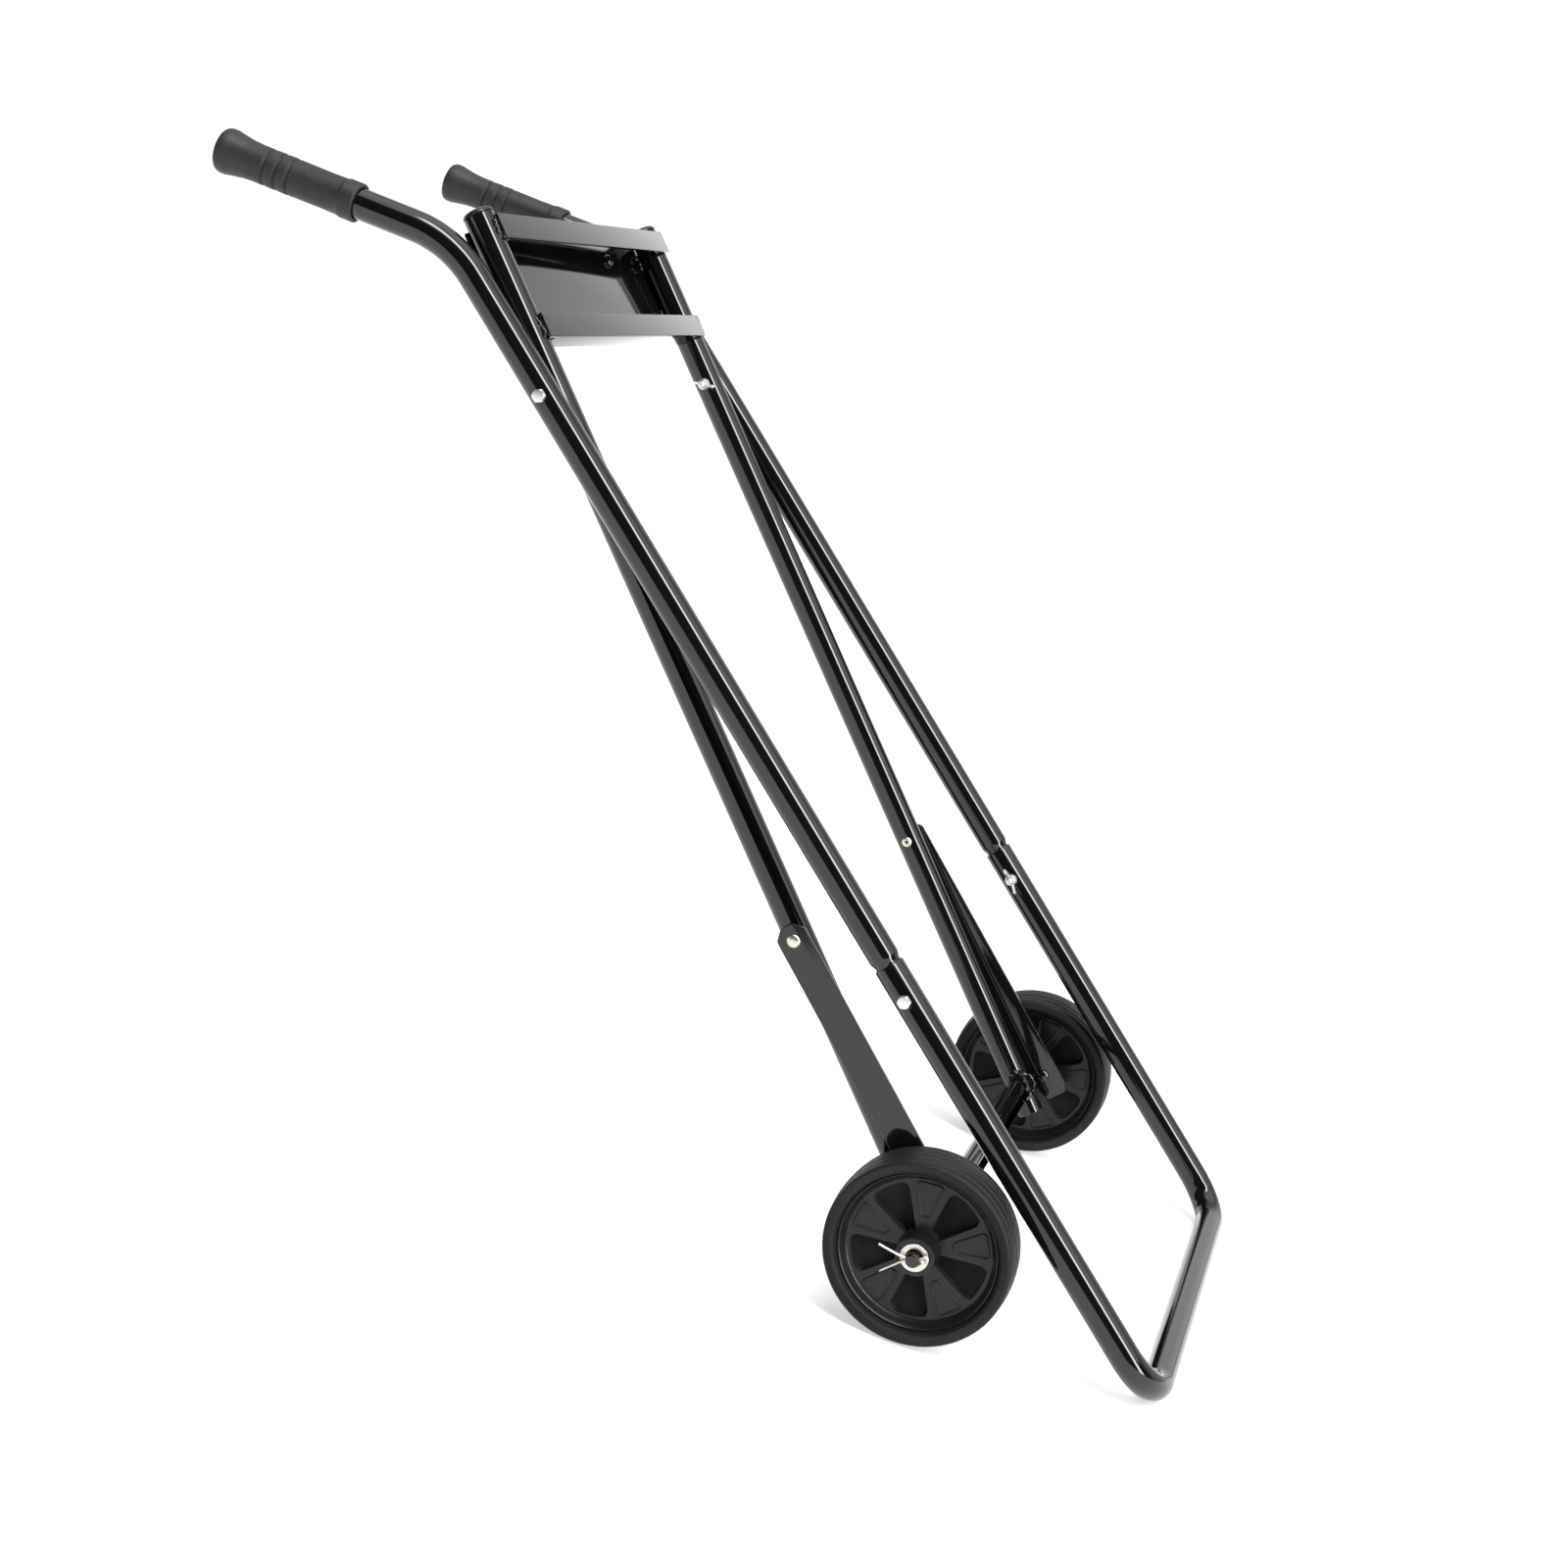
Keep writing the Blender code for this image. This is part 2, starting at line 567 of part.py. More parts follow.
def rim(sign):
    """Moulded wheel centre: hub, web with raised panels and pockets, and outer band."""
    rim_r = RIM_D / 2
    hub_r = HUB_D / 2
    bore = AXLE_HOLE_R
    web = RIM_WEB
    hub = HUB_LENGTH / 2
    profile = [(bore, -hub), (hub_r - 0.5 * MM, -hub), (hub_r, -web), (rim_r - 7.5 * MM, -web),
               (rim_r - 1.5 * MM, -RIM_LIP), (rim_r, -RIM_LIP)]
    full = profile + [(r, -x) for r, x in reversed(profile)]
    mesh = lathe("rim", full, 32)
    tools = []
    inner = hub_r + 2 * MM
    reach = rim_r - 9 * MM
    for k in range(2 * PANELS):
        middle = 2 * math.pi * k / (2 * PANELS)
        raised = k % 2 == 0
        depth = 0.8 * MM if raised else 5.0 * MM
        start = inner + (9 * MM if raised else 3 * MM)
        stop = reach - (2 * MM if raised else 0)
        near = start * math.tan(math.pi / PANELS / 2) - 2.6 * MM
        far = stop * math.tan(math.pi / PANELS / 2) - 3.4 * MM
        corner = 4 * MM
        outline = [(start, -near), (stop - corner, -far), (stop, -far + corner), (stop, far - corner),
                   (stop - corner, far), (start, near)]
        for face in (-1, 1):
            low = face * (web - depth)
            high = face * (web + 6 * MM)
            cut = prism("pocket", outline, min(low, high), max(low, high))
            tools.append(moved(cut, Matrix.Rotation(middle, 4, 'X')))
    joined = bmesh.new()
    for tool in tools:
        joined.from_mesh(tool)
    all_tools = bpy.data.meshes.new("pockets")
    joined.to_mesh(all_tools)
    joined.free()
    mesh = combine(mesh, [all_tools], 'DIFFERENCE')
    return moved(mesh, Matrix.Translation(AXLE_AT + ACROSS * (sign * WHEEL_CENTRE)))


def washer(sign):
    """Steel washer between the hub and the split pin."""
    low = WHEEL_CENTRE + HUB_LENGTH / 2 + GAP
    r = WASHER_D / 2
    bore = AXLE_HOLE_R + 0.6 * MM
    profile = [(bore, low), (r, low), (r, low + WASHER_THICK), (bore, low + WASHER_THICK)]
    mesh = lathe("washer", [(a, sign * b) for a, b in profile], SIDES)
    return moved(mesh, Matrix.Translation(AXLE_AT))


def split_pin(sign):
    """Wire folded into an eye in front, both legs through the axle and spread behind it."""
    r = PIN_WIRE_R
    apart = r + 0.15 * MM
    eye = 2.0 * MM
    start = AXLE_D / 2 + 1.2 * MM
    points = [Vector((0, 29 * MM, 11.5 * MM)), Vector((0, AXLE_D / 2 + 4 * MM, apart + 0.9 * MM)),
              Vector((0, AXLE_D / 2, apart)), Vector((0, -start, apart))]
    centre = -start - eye
    for k in range(1, 10):
        angle = math.radians(25 + 310 * k / 10)
        points.append(Vector((0, centre + eye * math.cos(angle), eye * math.sin(angle))))
    points += [Vector((p.x, p.y, -p.z)) for p in reversed(points[:4])]
    path = []
    for i, p in enumerate(points):
        before = points[max(i - 1, 0)]
        after = points[min(i + 1, len(points) - 1)]
        path.append((p, (after - before).normalized()))
    mesh = sweep("pin", path, [r] * len(path), 6, side=ACROSS)
    turn = Matrix.Rotation(LEAN - PIN_TURN, 4, 'X')
    return moved(mesh, Matrix.Translation(AXLE_AT + ACROSS * (sign * PIN_X)) @ turn)


for word, sign in SIDES_OF_CART:
    centre = AXLE_AT + ACROSS * (sign * WHEEL_CENTRE)
    finish(word + "_tyre", tyre(sign), "tyre_rubber", centre)
    finish(word + "_rim", rim(sign), "rim_plastic", centre)
    finish(word + "_hub_washer", washer(sign), "nickel", AXLE_AT + ACROSS * (sign * WHEEL_CENTRE))
    finish(word + "_split_pin", split_pin(sign), "zinc", AXLE_AT + ACROSS * (sign * PIN_X))


# ---------------------------------------------------------------- bolts and wing nuts

def hex_bolt(length):
    """Hex head below x = 0 and plain shank of the given length above it."""
    flat = BOLT_HEX / 2 / math.cos(math.pi / 6)
    outline = [(flat * math.cos(math.pi / 3 * k), flat * math.sin(math.pi / 3 * k)) for k in range(6)]
    head = prism("head", outline, -BOLT_HEAD, 0)
    r = BOLT_D / 2
    shank = lathe("shank", [(r, -BOLT_HEAD / 2), (r, length - 0.8 * MM), (r - 0.8 * MM, length)], 12, bore=False)
    return combine(head, [shank], 'UNION')


def wing_nut():
    """Turned boss with two upswept wings, its face on x = 0."""
    hole = BOLT_D / 2 + GAP
    r = NUT_D / 2
    profile = [(hole, 0), (r, 0), (r, 2 * MM), (r - 1.6 * MM, NUT_HEIGHT), (hole, NUT_HEIGHT)]
    boss = lathe("boss", profile, 12)
    tip = WING_SPAN / 2
    root = hole + 0.7 * MM
    top = NUT_HEIGHT - 0.6 * MM
    wings = []
    for side in (-1, 1):
        outline = [(root, 0.8 * MM), (r + 1 * MM, 1.2 * MM), (tip - 2 * MM, 6.5 * MM),
                   (tip, 9.0 * MM), (tip - 1.2 * MM, 11.2 * MM), (tip - 4.2 * MM, 10.8 * MM),
                   (r - 0.6 * MM, top), (root, top)]
        outline = [(side * out, height) for out, height in outline]
        wing = prism("wing", outline, -0.95 * MM, 0.95 * MM)
        swap = Matrix(((0, 0, 1, 0), (0, 1, 0, 0), (-1, 0, 0, 0), (0, 0, 0, 1)))
        wings.append(moved(wing, swap))
    return combine(boss, wings, 'UNION')


def bolt_pair(word, sign, kind, at, grip_length, turn):
    """Bolt from outside the cart inwards, and its wing nut on the inner end."""
    face = sign * (HANDLE_X + TUBE_R + GAP)
    flip = Matrix.Rotation(math.pi, 4, 'Z') if sign > 0 else Matrix.Identity(4)
    place = Matrix.Translation((face, at.y, at.z))
    bolt = moved(hex_bolt(grip_length + NUT_HEIGHT + 5 * MM), place @ flip)
    finish(word + "_" + kind + "_bolt", bolt, "zinc", (face, at.y, at.z))
    inner = face - sign * (grip_length + 2 * GAP)
    place = Matrix.Translation((inner, at.y, at.z)) @ Matrix.Rotation(turn, 4, 'X')
    nut = moved(wing_nut(), place @ flip)
    finish(word + "_" + kind + "_wing_nut", nut, "zinc", (inner, at.y, at.z))


for word, sign in SIDES_OF_CART:
    bolt_pair(word, sign, "pivot", outer(0, 0, PIVOT_ALONG), 2 * TUBE_D + SIDE_GAP, math.radians(42))
    bolt_pair(word, sign, "joint", outer(0, 0, JOINT_ALONG), TUBE_D, math.radians(-84))


# ---------------------------------------------------------------- centre the cart over the origin

bpy.context.view_layer.update()
corners = [obj.matrix_world @ vert.co for obj in PARTS.objects for vert in obj.data.vertices]
middle = (min(c.y for c in corners) + max(c.y for c in corners)) / 2
for obj in PARTS.objects:
    obj.location.y -= middle
bpy.context.view_layer.update()
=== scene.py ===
# %% [markdown]
# # A folding outboard motor cart
# The cart is two tube frames that cross on one bolt line, with a U-shaped foot, rubber grips
# and a pair of solid-tyred wheels.  The CAD model already has every piece in its place and
# every joint.  This script keeps that frame and builds a finely made piece for each CAD node:
# surfaces are worked out with numpy, put into meshes, and tied to the bodies that move them.

# %% Load the frame
import json
import math

import bpy
import numpy as np
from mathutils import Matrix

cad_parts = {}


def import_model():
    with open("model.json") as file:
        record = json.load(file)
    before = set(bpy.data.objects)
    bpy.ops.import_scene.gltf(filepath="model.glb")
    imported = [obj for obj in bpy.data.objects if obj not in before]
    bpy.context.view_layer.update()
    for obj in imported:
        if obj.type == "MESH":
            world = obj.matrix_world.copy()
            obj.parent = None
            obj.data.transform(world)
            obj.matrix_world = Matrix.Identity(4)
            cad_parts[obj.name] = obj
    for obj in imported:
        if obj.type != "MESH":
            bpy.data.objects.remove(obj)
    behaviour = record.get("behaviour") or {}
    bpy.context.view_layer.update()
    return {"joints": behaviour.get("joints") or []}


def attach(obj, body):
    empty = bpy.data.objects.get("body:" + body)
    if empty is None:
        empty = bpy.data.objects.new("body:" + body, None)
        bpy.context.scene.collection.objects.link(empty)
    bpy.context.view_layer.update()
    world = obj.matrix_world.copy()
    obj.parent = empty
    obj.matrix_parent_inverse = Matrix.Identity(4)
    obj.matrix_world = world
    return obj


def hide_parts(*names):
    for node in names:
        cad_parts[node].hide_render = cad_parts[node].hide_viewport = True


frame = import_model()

# %% [markdown]
# ## Two slanted workbenches
# Everything on the cart lies along one of two slopes: the handle tubes, or the motor tubes that
# cross them.  It is easier to build a tube upright on a bench and let the bench be slanted.  A
# bench is an origin and three directions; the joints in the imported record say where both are:
# the pivot bolt, and the axle.  Sizes are in millimetres on the bench and metres in the world.

# %% Benches
MM = 0.001
TUBE_R = 12.5
WALL = 1.5
PIVOT_ALONG = 918.0
FRAME_ANGLE = math.radians(7.5)
SIDES = (("left", -1), ("right", 1))

JOINTS = {joint["name"]: joint for joint in frame["joints"]}
PIVOT = np.array(JOINTS["frame_fold"]["pos_m"], float) * (0, 1, 1)
AXLE = np.array(JOINTS["left_wheel_spin"]["pos_m"], float) * (0, 1, 1)
RISE = (PIVOT[2] / MM - TUBE_R) / PIVOT_ALONG
LEAN = math.sqrt(1 - RISE * RISE)
ACROSS = np.array([1.0, 0, 0])
ALONG = np.array([0, LEAN, RISE])
BEHIND = np.array([0, RISE, -LEAN])
UP = ALONG * math.cos(FRAME_ANGLE) - BEHIND * math.sin(FRAME_ANGLE)
FRONT = -BEHIND * math.cos(FRAME_ANGLE) - ALONG * math.sin(FRAME_ANGLE)
CART = (PIVOT - ALONG * PIVOT_ALONG * MM, np.array([ACROSS, BEHIND, ALONG]))
MOTOR = (PIVOT, np.array([ACROSS, FRONT, UP]))


def world(bench, points):
    """Bench origin, plus each coordinate times its bench direction."""
    return bench[0] + (np.asarray(points, float) @ bench[1]) * MM


def bench_at(bench, point, *directions):
    """A smaller bench standing on a larger one; the directions are given on the larger one."""
    return world(bench, point), np.array(directions, float) @ bench[1]


print("handle tubes lean", round(math.degrees(math.acos(RISE)), 2), "degrees")

# %% [markdown]
# ## Closed surfaces from grids
# A grid of points, ring after ring, is enough for almost every piece of hardware.  Each ring
# joins the next; the last either joins the first, as on a pipe with an inner wall, or both ends
# get a flat cap.  A signed volume tells whether the faces point outwards, so no shape can end
# up inside out.

# %% Surface and mesh helpers
def surface(rings, wrap=False):
    """Grid of shape (rings, points, 3) skinned with quads; without wrap the ends are capped."""
    count, points = rings.shape[:2]
    rows = np.arange(count if wrap else count - 1)[:, None] * points
    column = np.arange(points)[None, :]
    after = (column + 1) % points
    above = (rows + points) % (count * points)
    quads = np.stack([rows + column, rows + after, above + after, above + column], -1).reshape(-1, 4)
    verts = rings.reshape(-1, 3)
    caps = [] if wrap else [np.arange(points)[::-1], np.arange(points) + (count - 1) * points]
    a, b, c, d = (verts[quads[:, k]] for k in range(4))
    volume = np.einsum("ij,ij->", a, np.cross(b, c)) + np.einsum("ij,ij->", a, np.cross(c, d))
    for cap in caps:
        fan = verts[cap]
        volume += np.einsum("ij,ij->", np.broadcast_to(fan[0], fan[1:-1].shape), np.cross(fan[1:-1], fan[2:]))
    faces = quads.tolist() + [cap.tolist() for cap in caps]
    return verts, faces if volume > 0 else [face[::-1] for face in faces]


def piece(name, parts, look, body, *nodes, crease=38, uv=None):
    """One object from closed surfaces: smooth but for sharp folds, riding on a body."""
    verts = np.concatenate([part[0] for part in parts])
    starts = np.cumsum([0] + [len(part[0]) for part in parts])
    faces = [[index + int(start) for index in face] for part, start in zip(parts, starts) for face in part[1]]
    mesh = bpy.data.meshes.new(name)
    mesh.from_pydata(verts.tolist(), [], faces)
    mesh.shade_smooth()
    mesh.set_sharp_from_angle(angle=math.radians(crease))
    if uv is not None:
        corners = np.zeros(len(mesh.loops), np.int32)
        mesh.loops.foreach_get("vertex_index", corners)
        mesh.uv_layers.new(name="around").data.foreach_set("uv", uv[corners].astype(np.float32).ravel())
    mesh.materials.append(LOOKS[look])
    made = bpy.data.objects.new(name, mesh)
    bpy.context.scene.collection.objects.link(made)
    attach(made, body)
    if nodes:
        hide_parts(*nodes)
    print(name, len(verts), "points on", body)
    return made


def circle(count, turn=0.0):
    return turn + np.arange(count) * (2 * math.pi / count)


def soften(corners, radius, steps=5, closed=True):
    """Each corner of an outline becomes a parabola from one side to the next."""
    c = np.asarray(corners, float)
    before = np.roll(c, 1, 0) - c
    after = np.roll(c, -1, 0) - c
    run_in = np.linalg.norm(before, axis=1)
    run_out = np.linalg.norm(after, axis=1)
    r = np.minimum(radius, 0.45 * np.minimum(run_in, run_out))[:, None]
    start = c + before / run_in[:, None] * r
    stop = c + after / run_out[:, None] * r
    s = np.linspace(0, 1, steps)[None, :, None]
    curve = (1 - s) ** 2 * start[:, None] + 2 * s * (1 - s) * c[:, None] + s * s * stop[:, None]
    if closed:
        return curve.reshape(-1, 2)
    return np.concatenate([c[:1], curve[1:-1].reshape(-1, 2), c[-1:]])


def turned(bench, profile, count=64, wrap=False):
    """Lathe work: (radius, height) points turned about the bench's first direction."""
    profile = np.asarray(profile, float)
    t = circle(count)
    r = profile[:, :1]
    height = np.broadcast_to(profile[:, 1:], (len(profile), count))
    grid = np.stack([height, r * np.cos(t), r * np.sin(t)], -1)
    return surface(world(bench, grid), wrap)


def slab(bench, outline, low, high, edge=0.4, steps=4):
    """Outline on the second and third directions, pushed along the first, its rims rounded."""
    outline = np.asarray(outline, float)
    along = np.roll(outline, -1, 0) - np.roll(outline, 1, 0)
    normal = np.stack([along[:, 1], -along[:, 0]], 1) / np.linalg.norm(along, axis=1)[:, None]
    x, y = outline.T
    area = np.sum(x * np.roll(y, -1) - y * np.roll(x, -1))
    inward = -normal * math.copysign(1, area)
    q = np.linspace(0, math.pi / 2, steps)
    inset = np.concatenate([edge * (1 - np.sin(q)), edge * (1 - np.cos(q))])
    height = np.concatenate([low + edge * (1 - np.cos(q)), high - edge * (1 - np.sin(q))])
    flat = outline[None] + inward[None] * inset[:, None, None]
    grid = np.concatenate([np.broadcast_to(height[:, None, None], flat.shape[:2] + (1,)), flat], -1)
    return surface(world(bench, grid))


def route(points, radii, steps=24):
    """Polyline with each corner rounded to its own radius; returns stations and tangents."""
    points = np.asarray(points, float)
    legs = np.diff(points, axis=0)
    legs /= np.linalg.norm(legs, axis=1)[:, None]
    stations = [points[:1]]
    tangents = [legs[:1]]
    for corner, radius, a, b in zip(points[1:-1], radii, legs[:-1], legs[1:]):
        angle = math.acos(min(1.0, float(a @ b)))
        if radius == 0 or angle < 1e-4:
            stations.append(corner[None])
            tangents.append(a[None])
            continue
        s = np.linspace(0, angle, steps)[:, None]
        inwards = (b - a * math.cos(angle)) / math.sin(angle)
        start = corner - a * radius * math.tan(angle / 2)
        stations.append(start + radius * (np.sin(s) * a + (1 - np.cos(s)) * inwards))
        tangents.append(np.cos(s) * a + np.sin(s) * inwards)
    stations.append(points[-1:])
    tangents.append(legs[-1:])
    return np.concatenate(stations), np.concatenate(tangents)


def swept(bench, stations, tangents, radii, side, count=48, wrap=False):
    """Round section carried along a path; radii may change round the section as well."""
    side = np.broadcast_to(np.asarray(side, float), stations.shape)
    up = np.cross(tangents, side)
    up /= np.linalg.norm(up, axis=1)[:, None]
    flat = np.cross(up, tangents)
    t = circle(count)
    radii = np.asarray(radii, float).reshape(len(stations), -1)
    spokes = flat[:, None] * np.cos(t)[None, :, None] + up[:, None] * np.sin(t)[None, :, None]
    return surface(world(bench, stations[:, None] + radii[..., None] * spokes), wrap)


def pipe(bench, stations, tangents, radii, side, count=48, lip=0.5):
    """Tube with open ends: out along the outer wall, back along the inner one, lips eased."""
    radii = np.broadcast_to(np.asarray(radii, float).reshape(len(stations), -1), (len(stations), count))
    first = stations[:1] + tangents[:1] * lip
    last = stations[-1:] - tangents[-1:] * lip
    stations = np.concatenate([stations[:1], first, stations[1:-1], last, stations[-1:]])
    tangents = np.concatenate([tangents[:1], tangents, tangents[-1:]])
    eased = lip * 0.8
    outer = np.concatenate([radii[:1] - eased, radii[:1], radii[1:-1], radii[-1:], radii[-1:] - eased])
    inner = np.concatenate([radii[:1] - WALL * 0.9, radii[:1] - WALL, radii[1:-1] - WALL,
                            radii[-1:] - WALL, radii[-1:] - WALL * 0.9])
    there_and_back = np.concatenate([stations, stations[::-1]])
    directions = np.concatenate([tangents, tangents[::-1]])
    walls = np.concatenate([outer, inner[::-1]])
    return swept(bench, there_and_back, directions, walls, side, count, wrap=True)


print("helpers ready")

# %% [markdown]
# ## Finishes: shared effects
# Three effects come back in several finishes, so each is a node group that puts out only
# heights and masks.  "peel" is the fine waviness of sprayed or powder-coated paint; "grain" is
# the pebbled skin of moulded rubber and plastic; "handling" is the faint dust and rubbing that
# every real surface picks up, as a mask that a material may use for roughness and colour.

# %% Node helpers and groups
def add(tree, kind, values=(), links=(), **settings):
    """A node with its settings, socket values and incoming links."""
    made = tree.nodes.new(kind)
    for key, value in settings.items():
        setattr(made, key, value)
    for key, value in dict(values).items():
        made.inputs[key].default_value = value
    for key, socket in dict(links).items():
        tree.links.new(socket, made.inputs[key])
    return made


def math_node(tree, operation, a, b, clamp=False):
    """a and b are sockets or numbers."""
    made = tree.nodes.new("ShaderNodeMath")
    made.operation = operation
    made.use_clamp = clamp
    for k, value in enumerate((a, b)):
        if isinstance(value, (int, float)):
            made.inputs[k].default_value = value
        else:
            tree.links.new(value, made.inputs[k])
    return made.outputs[0]


def new_group(name, inputs, outputs):
    """Empty shader group with named number sockets."""
    tree = bpy.data.node_groups.new(name, "ShaderNodeTree")
    tree.interface.new_socket("Vector", in_out="INPUT", socket_type="NodeSocketVector")
    for label, value in inputs:
        socket = tree.interface.new_socket(label, in_out="INPUT", socket_type="NodeSocketFloat")
        socket.default_value = value
    for label in outputs:
        tree.interface.new_socket(label, in_out="OUTPUT", socket_type="NodeSocketFloat")
    return tree, tree.nodes.new("NodeGroupInput"), tree.nodes.new("NodeGroupOutput")


def peel_group():
    """Two noises, a few millimetres and half a millimetre across, added as a height."""
    tree, inside, outside = new_group("peel", [("Size", 420.0)], ["Height"])
    broad = add(tree, "ShaderNodeTexNoise", {"Detail": 0.5, "Roughness": 0.4},
                {"Vector": inside.outputs["Vector"], "Scale": inside.outputs["Size"]})
    fine_size = math_node(tree, "MULTIPLY", inside.outputs["Size"], 3.6)
    fine = add(tree, "ShaderNodeTexNoise", {"Detail": 1.0, "Roughness": 0.5},
               {"Vector": inside.outputs["Vector"], "Scale": fine_size})
    small = math_node(tree, "MULTIPLY", fine.outputs["Fac"], 0.06)
    total = math_node(tree, "ADD", broad.outputs["Fac"], small)
    tree.links.new(total, outside.inputs["Height"])
    return tree


def grain_group():
    """Voronoi pebbles broken up by noise; Height for the bump, Hollows for the dust."""
    tree, inside, outside = new_group("grain", [("Size", 1500.0)], ["Height", "Hollows"])
    cells = add(tree, "ShaderNodeTexVoronoi", {"Randomness": 1.0},
                {"Vector": inside.outputs["Vector"], "Scale": inside.outputs["Size"]}, feature="SMOOTH_F1")
    rough = add(tree, "ShaderNodeTexNoise", {"Detail": 3.0, "Roughness": 0.65},
                {"Vector": inside.outputs["Vector"], "Scale": inside.outputs["Size"]})
    pebble = math_node(tree, "SUBTRACT", 1.0, cells.outputs["Distance"])
    mixed = math_node(tree, "MULTIPLY", pebble, rough.outputs["Fac"])
    hollow = math_node(tree, "SUBTRACT", 0.62, mixed, clamp=True)
    tree.links.new(mixed, outside.inputs["Height"])
    tree.links.new(hollow, outside.inputs["Hollows"])
    return tree


def handling_group():
    """Broad cloudy patches, streaks and specks between 0 and 1."""
    tree, inside, outside = new_group("handling", [("Size", 14.0), ("Specks", 900.0)], ["Smudge", "Dust"])
    cloud = add(tree, "ShaderNodeTexNoise", {"Detail": 5.0, "Roughness": 0.62, "Distortion": 0.6},
                {"Vector": inside.outputs["Vector"], "Scale": inside.outputs["Size"]})
    shape = add(tree, "ShaderNodeMapRange", {"From Min": 0.38, "From Max": 0.72},
                {"Value": cloud.outputs["Fac"]})
    speck = add(tree, "ShaderNodeTexNoise", {"Detail": 2.0, "Roughness": 0.5},
                {"Vector": inside.outputs["Vector"], "Scale": inside.outputs["Specks"]})
    bright = add(tree, "ShaderNodeMapRange", {"From Min": 0.66, "From Max": 0.80},
                 {"Value": speck.outputs["Fac"]})
    dust = math_node(tree, "MULTIPLY", bright.outputs[0], shape.outputs[0])
    tree.links.new(shape.outputs[0], outside.inputs["Smudge"])
    tree.links.new(dust, outside.inputs["Dust"])
    return tree


PEEL = peel_group()
GRAIN = grain_group()
HANDLING = handling_group()
print("groups:", [group.name for group in bpy.data.node_groups])

# %% [markdown]
# ## Finishes: paint, metal, rubber and plastic
# Each finish is a Principled shader fed by the groups.  The paint is nearly black and glossy,
# so what is seen on it is the studio: its roughness and the depth of its peel matter far more
# than its colour.  Zinc and nickel plate are bright metals with fine turning marks.  Rubber is
# matte, with grain; the tyre adds moulded ridges that run across its side walls.

# %% Finish builder
LOOKS = {}


def place_group(tree, group, coordinates, **values):
    made = tree.nodes.new("ShaderNodeGroup")
    made.node_tree = group
    tree.links.new(coordinates, made.inputs["Vector"])
    for key, value in values.items():
        made.inputs[key].default_value = value
    return made


def finish(name, dark, light, rough, metallic=0.0, peel=None, grain=None, specks=900.0, specular=0.5):
    """dark and light are two base colours, mixed by dust; rough is (clean, smudged);
    peel and grain are (size, depth in millimetres)."""
    material = bpy.data.materials.new("fine_" + name)
    LOOKS[name] = material
    material.use_nodes = True
    tree = material.node_tree
    shader = tree.nodes["Principled BSDF"]
    place = tree.nodes.new("ShaderNodeTexCoord").outputs["Object"]
    marks = place_group(tree, HANDLING, place, Specks=specks)
    mask = marks.outputs["Dust"]
    height = None
    if grain:
        pebbles = place_group(tree, GRAIN, place, Size=grain[0])
        height = math_node(tree, "MULTIPLY", pebbles.outputs["Height"], grain[1])
        mask = math_node(tree, "ADD", mask, pebbles.outputs["Hollows"], clamp=True)
    if peel:
        waves = place_group(tree, PEEL, place, Size=peel[0])
        wave = math_node(tree, "MULTIPLY", waves.outputs["Height"], peel[1])
        height = wave if height is None else math_node(tree, "ADD", height, wave)
    colour = tree.nodes.new("ShaderNodeMix")
    colour.data_type = "RGBA"
    colour.inputs[6].default_value = (*dark, 1)
    colour.inputs[7].default_value = (*light, 1)
    tree.links.new(mask, colour.inputs[0])
    tree.links.new(colour.outputs[2], shader.inputs["Base Color"])
    spread = math_node(tree, "MULTIPLY", marks.outputs["Smudge"], rough[1] - rough[0])
    tree.links.new(math_node(tree, "ADD", spread, rough[0]), shader.inputs["Roughness"])
    shader.inputs["Metallic"].default_value = metallic
    shader.inputs["Specular IOR Level"].default_value = specular
    if height is not None:
        bump = add(tree, "ShaderNodeBump", {"Distance": MM, "Strength": 1.0}, {"Height": height})
        tree.links.new(bump.outputs["Normal"], shader.inputs["Normal"])
    return material


finish("paint", (0.0030, 0.0030, 0.0033), (0.030, 0.030, 0.029), (0.06, 0.11), peel=(300.0, 0.005))
finish("zinc", (0.62, 0.63, 0.61), (0.42, 0.43, 0.42), (0.36, 0.50), metallic=1.0, peel=(900.0, 0.010))
finish("nickel", (0.58, 0.53, 0.47), (0.42, 0.38, 0.33), (0.26, 0.42), metallic=1.0, peel=(700.0, 0.012))
finish("grip_rubber", (0.0085, 0.0085, 0.0095), (0.022, 0.022, 0.023), (0.48, 0.66),
       grain=(800.0, 0.26), specular=0.3)
finish("tyre_rubber", (0.0060, 0.0060, 0.0065), (0.016, 0.016, 0.016), (0.46, 0.62),
       grain=(2600.0, 0.03), specular=0.15)
finish("rim_plastic", (0.0030, 0.0030, 0.0034), (0.013, 0.013, 0.014), (0.27, 0.36),
       grain=(3200.0, 0.006), specular=0.28)
finish("cap_plastic", (0.006, 0.006, 0.007), (0.018, 0.018, 0.019), (0.24, 0.38),
       grain=(3000.0, 0.010), specular=0.35)


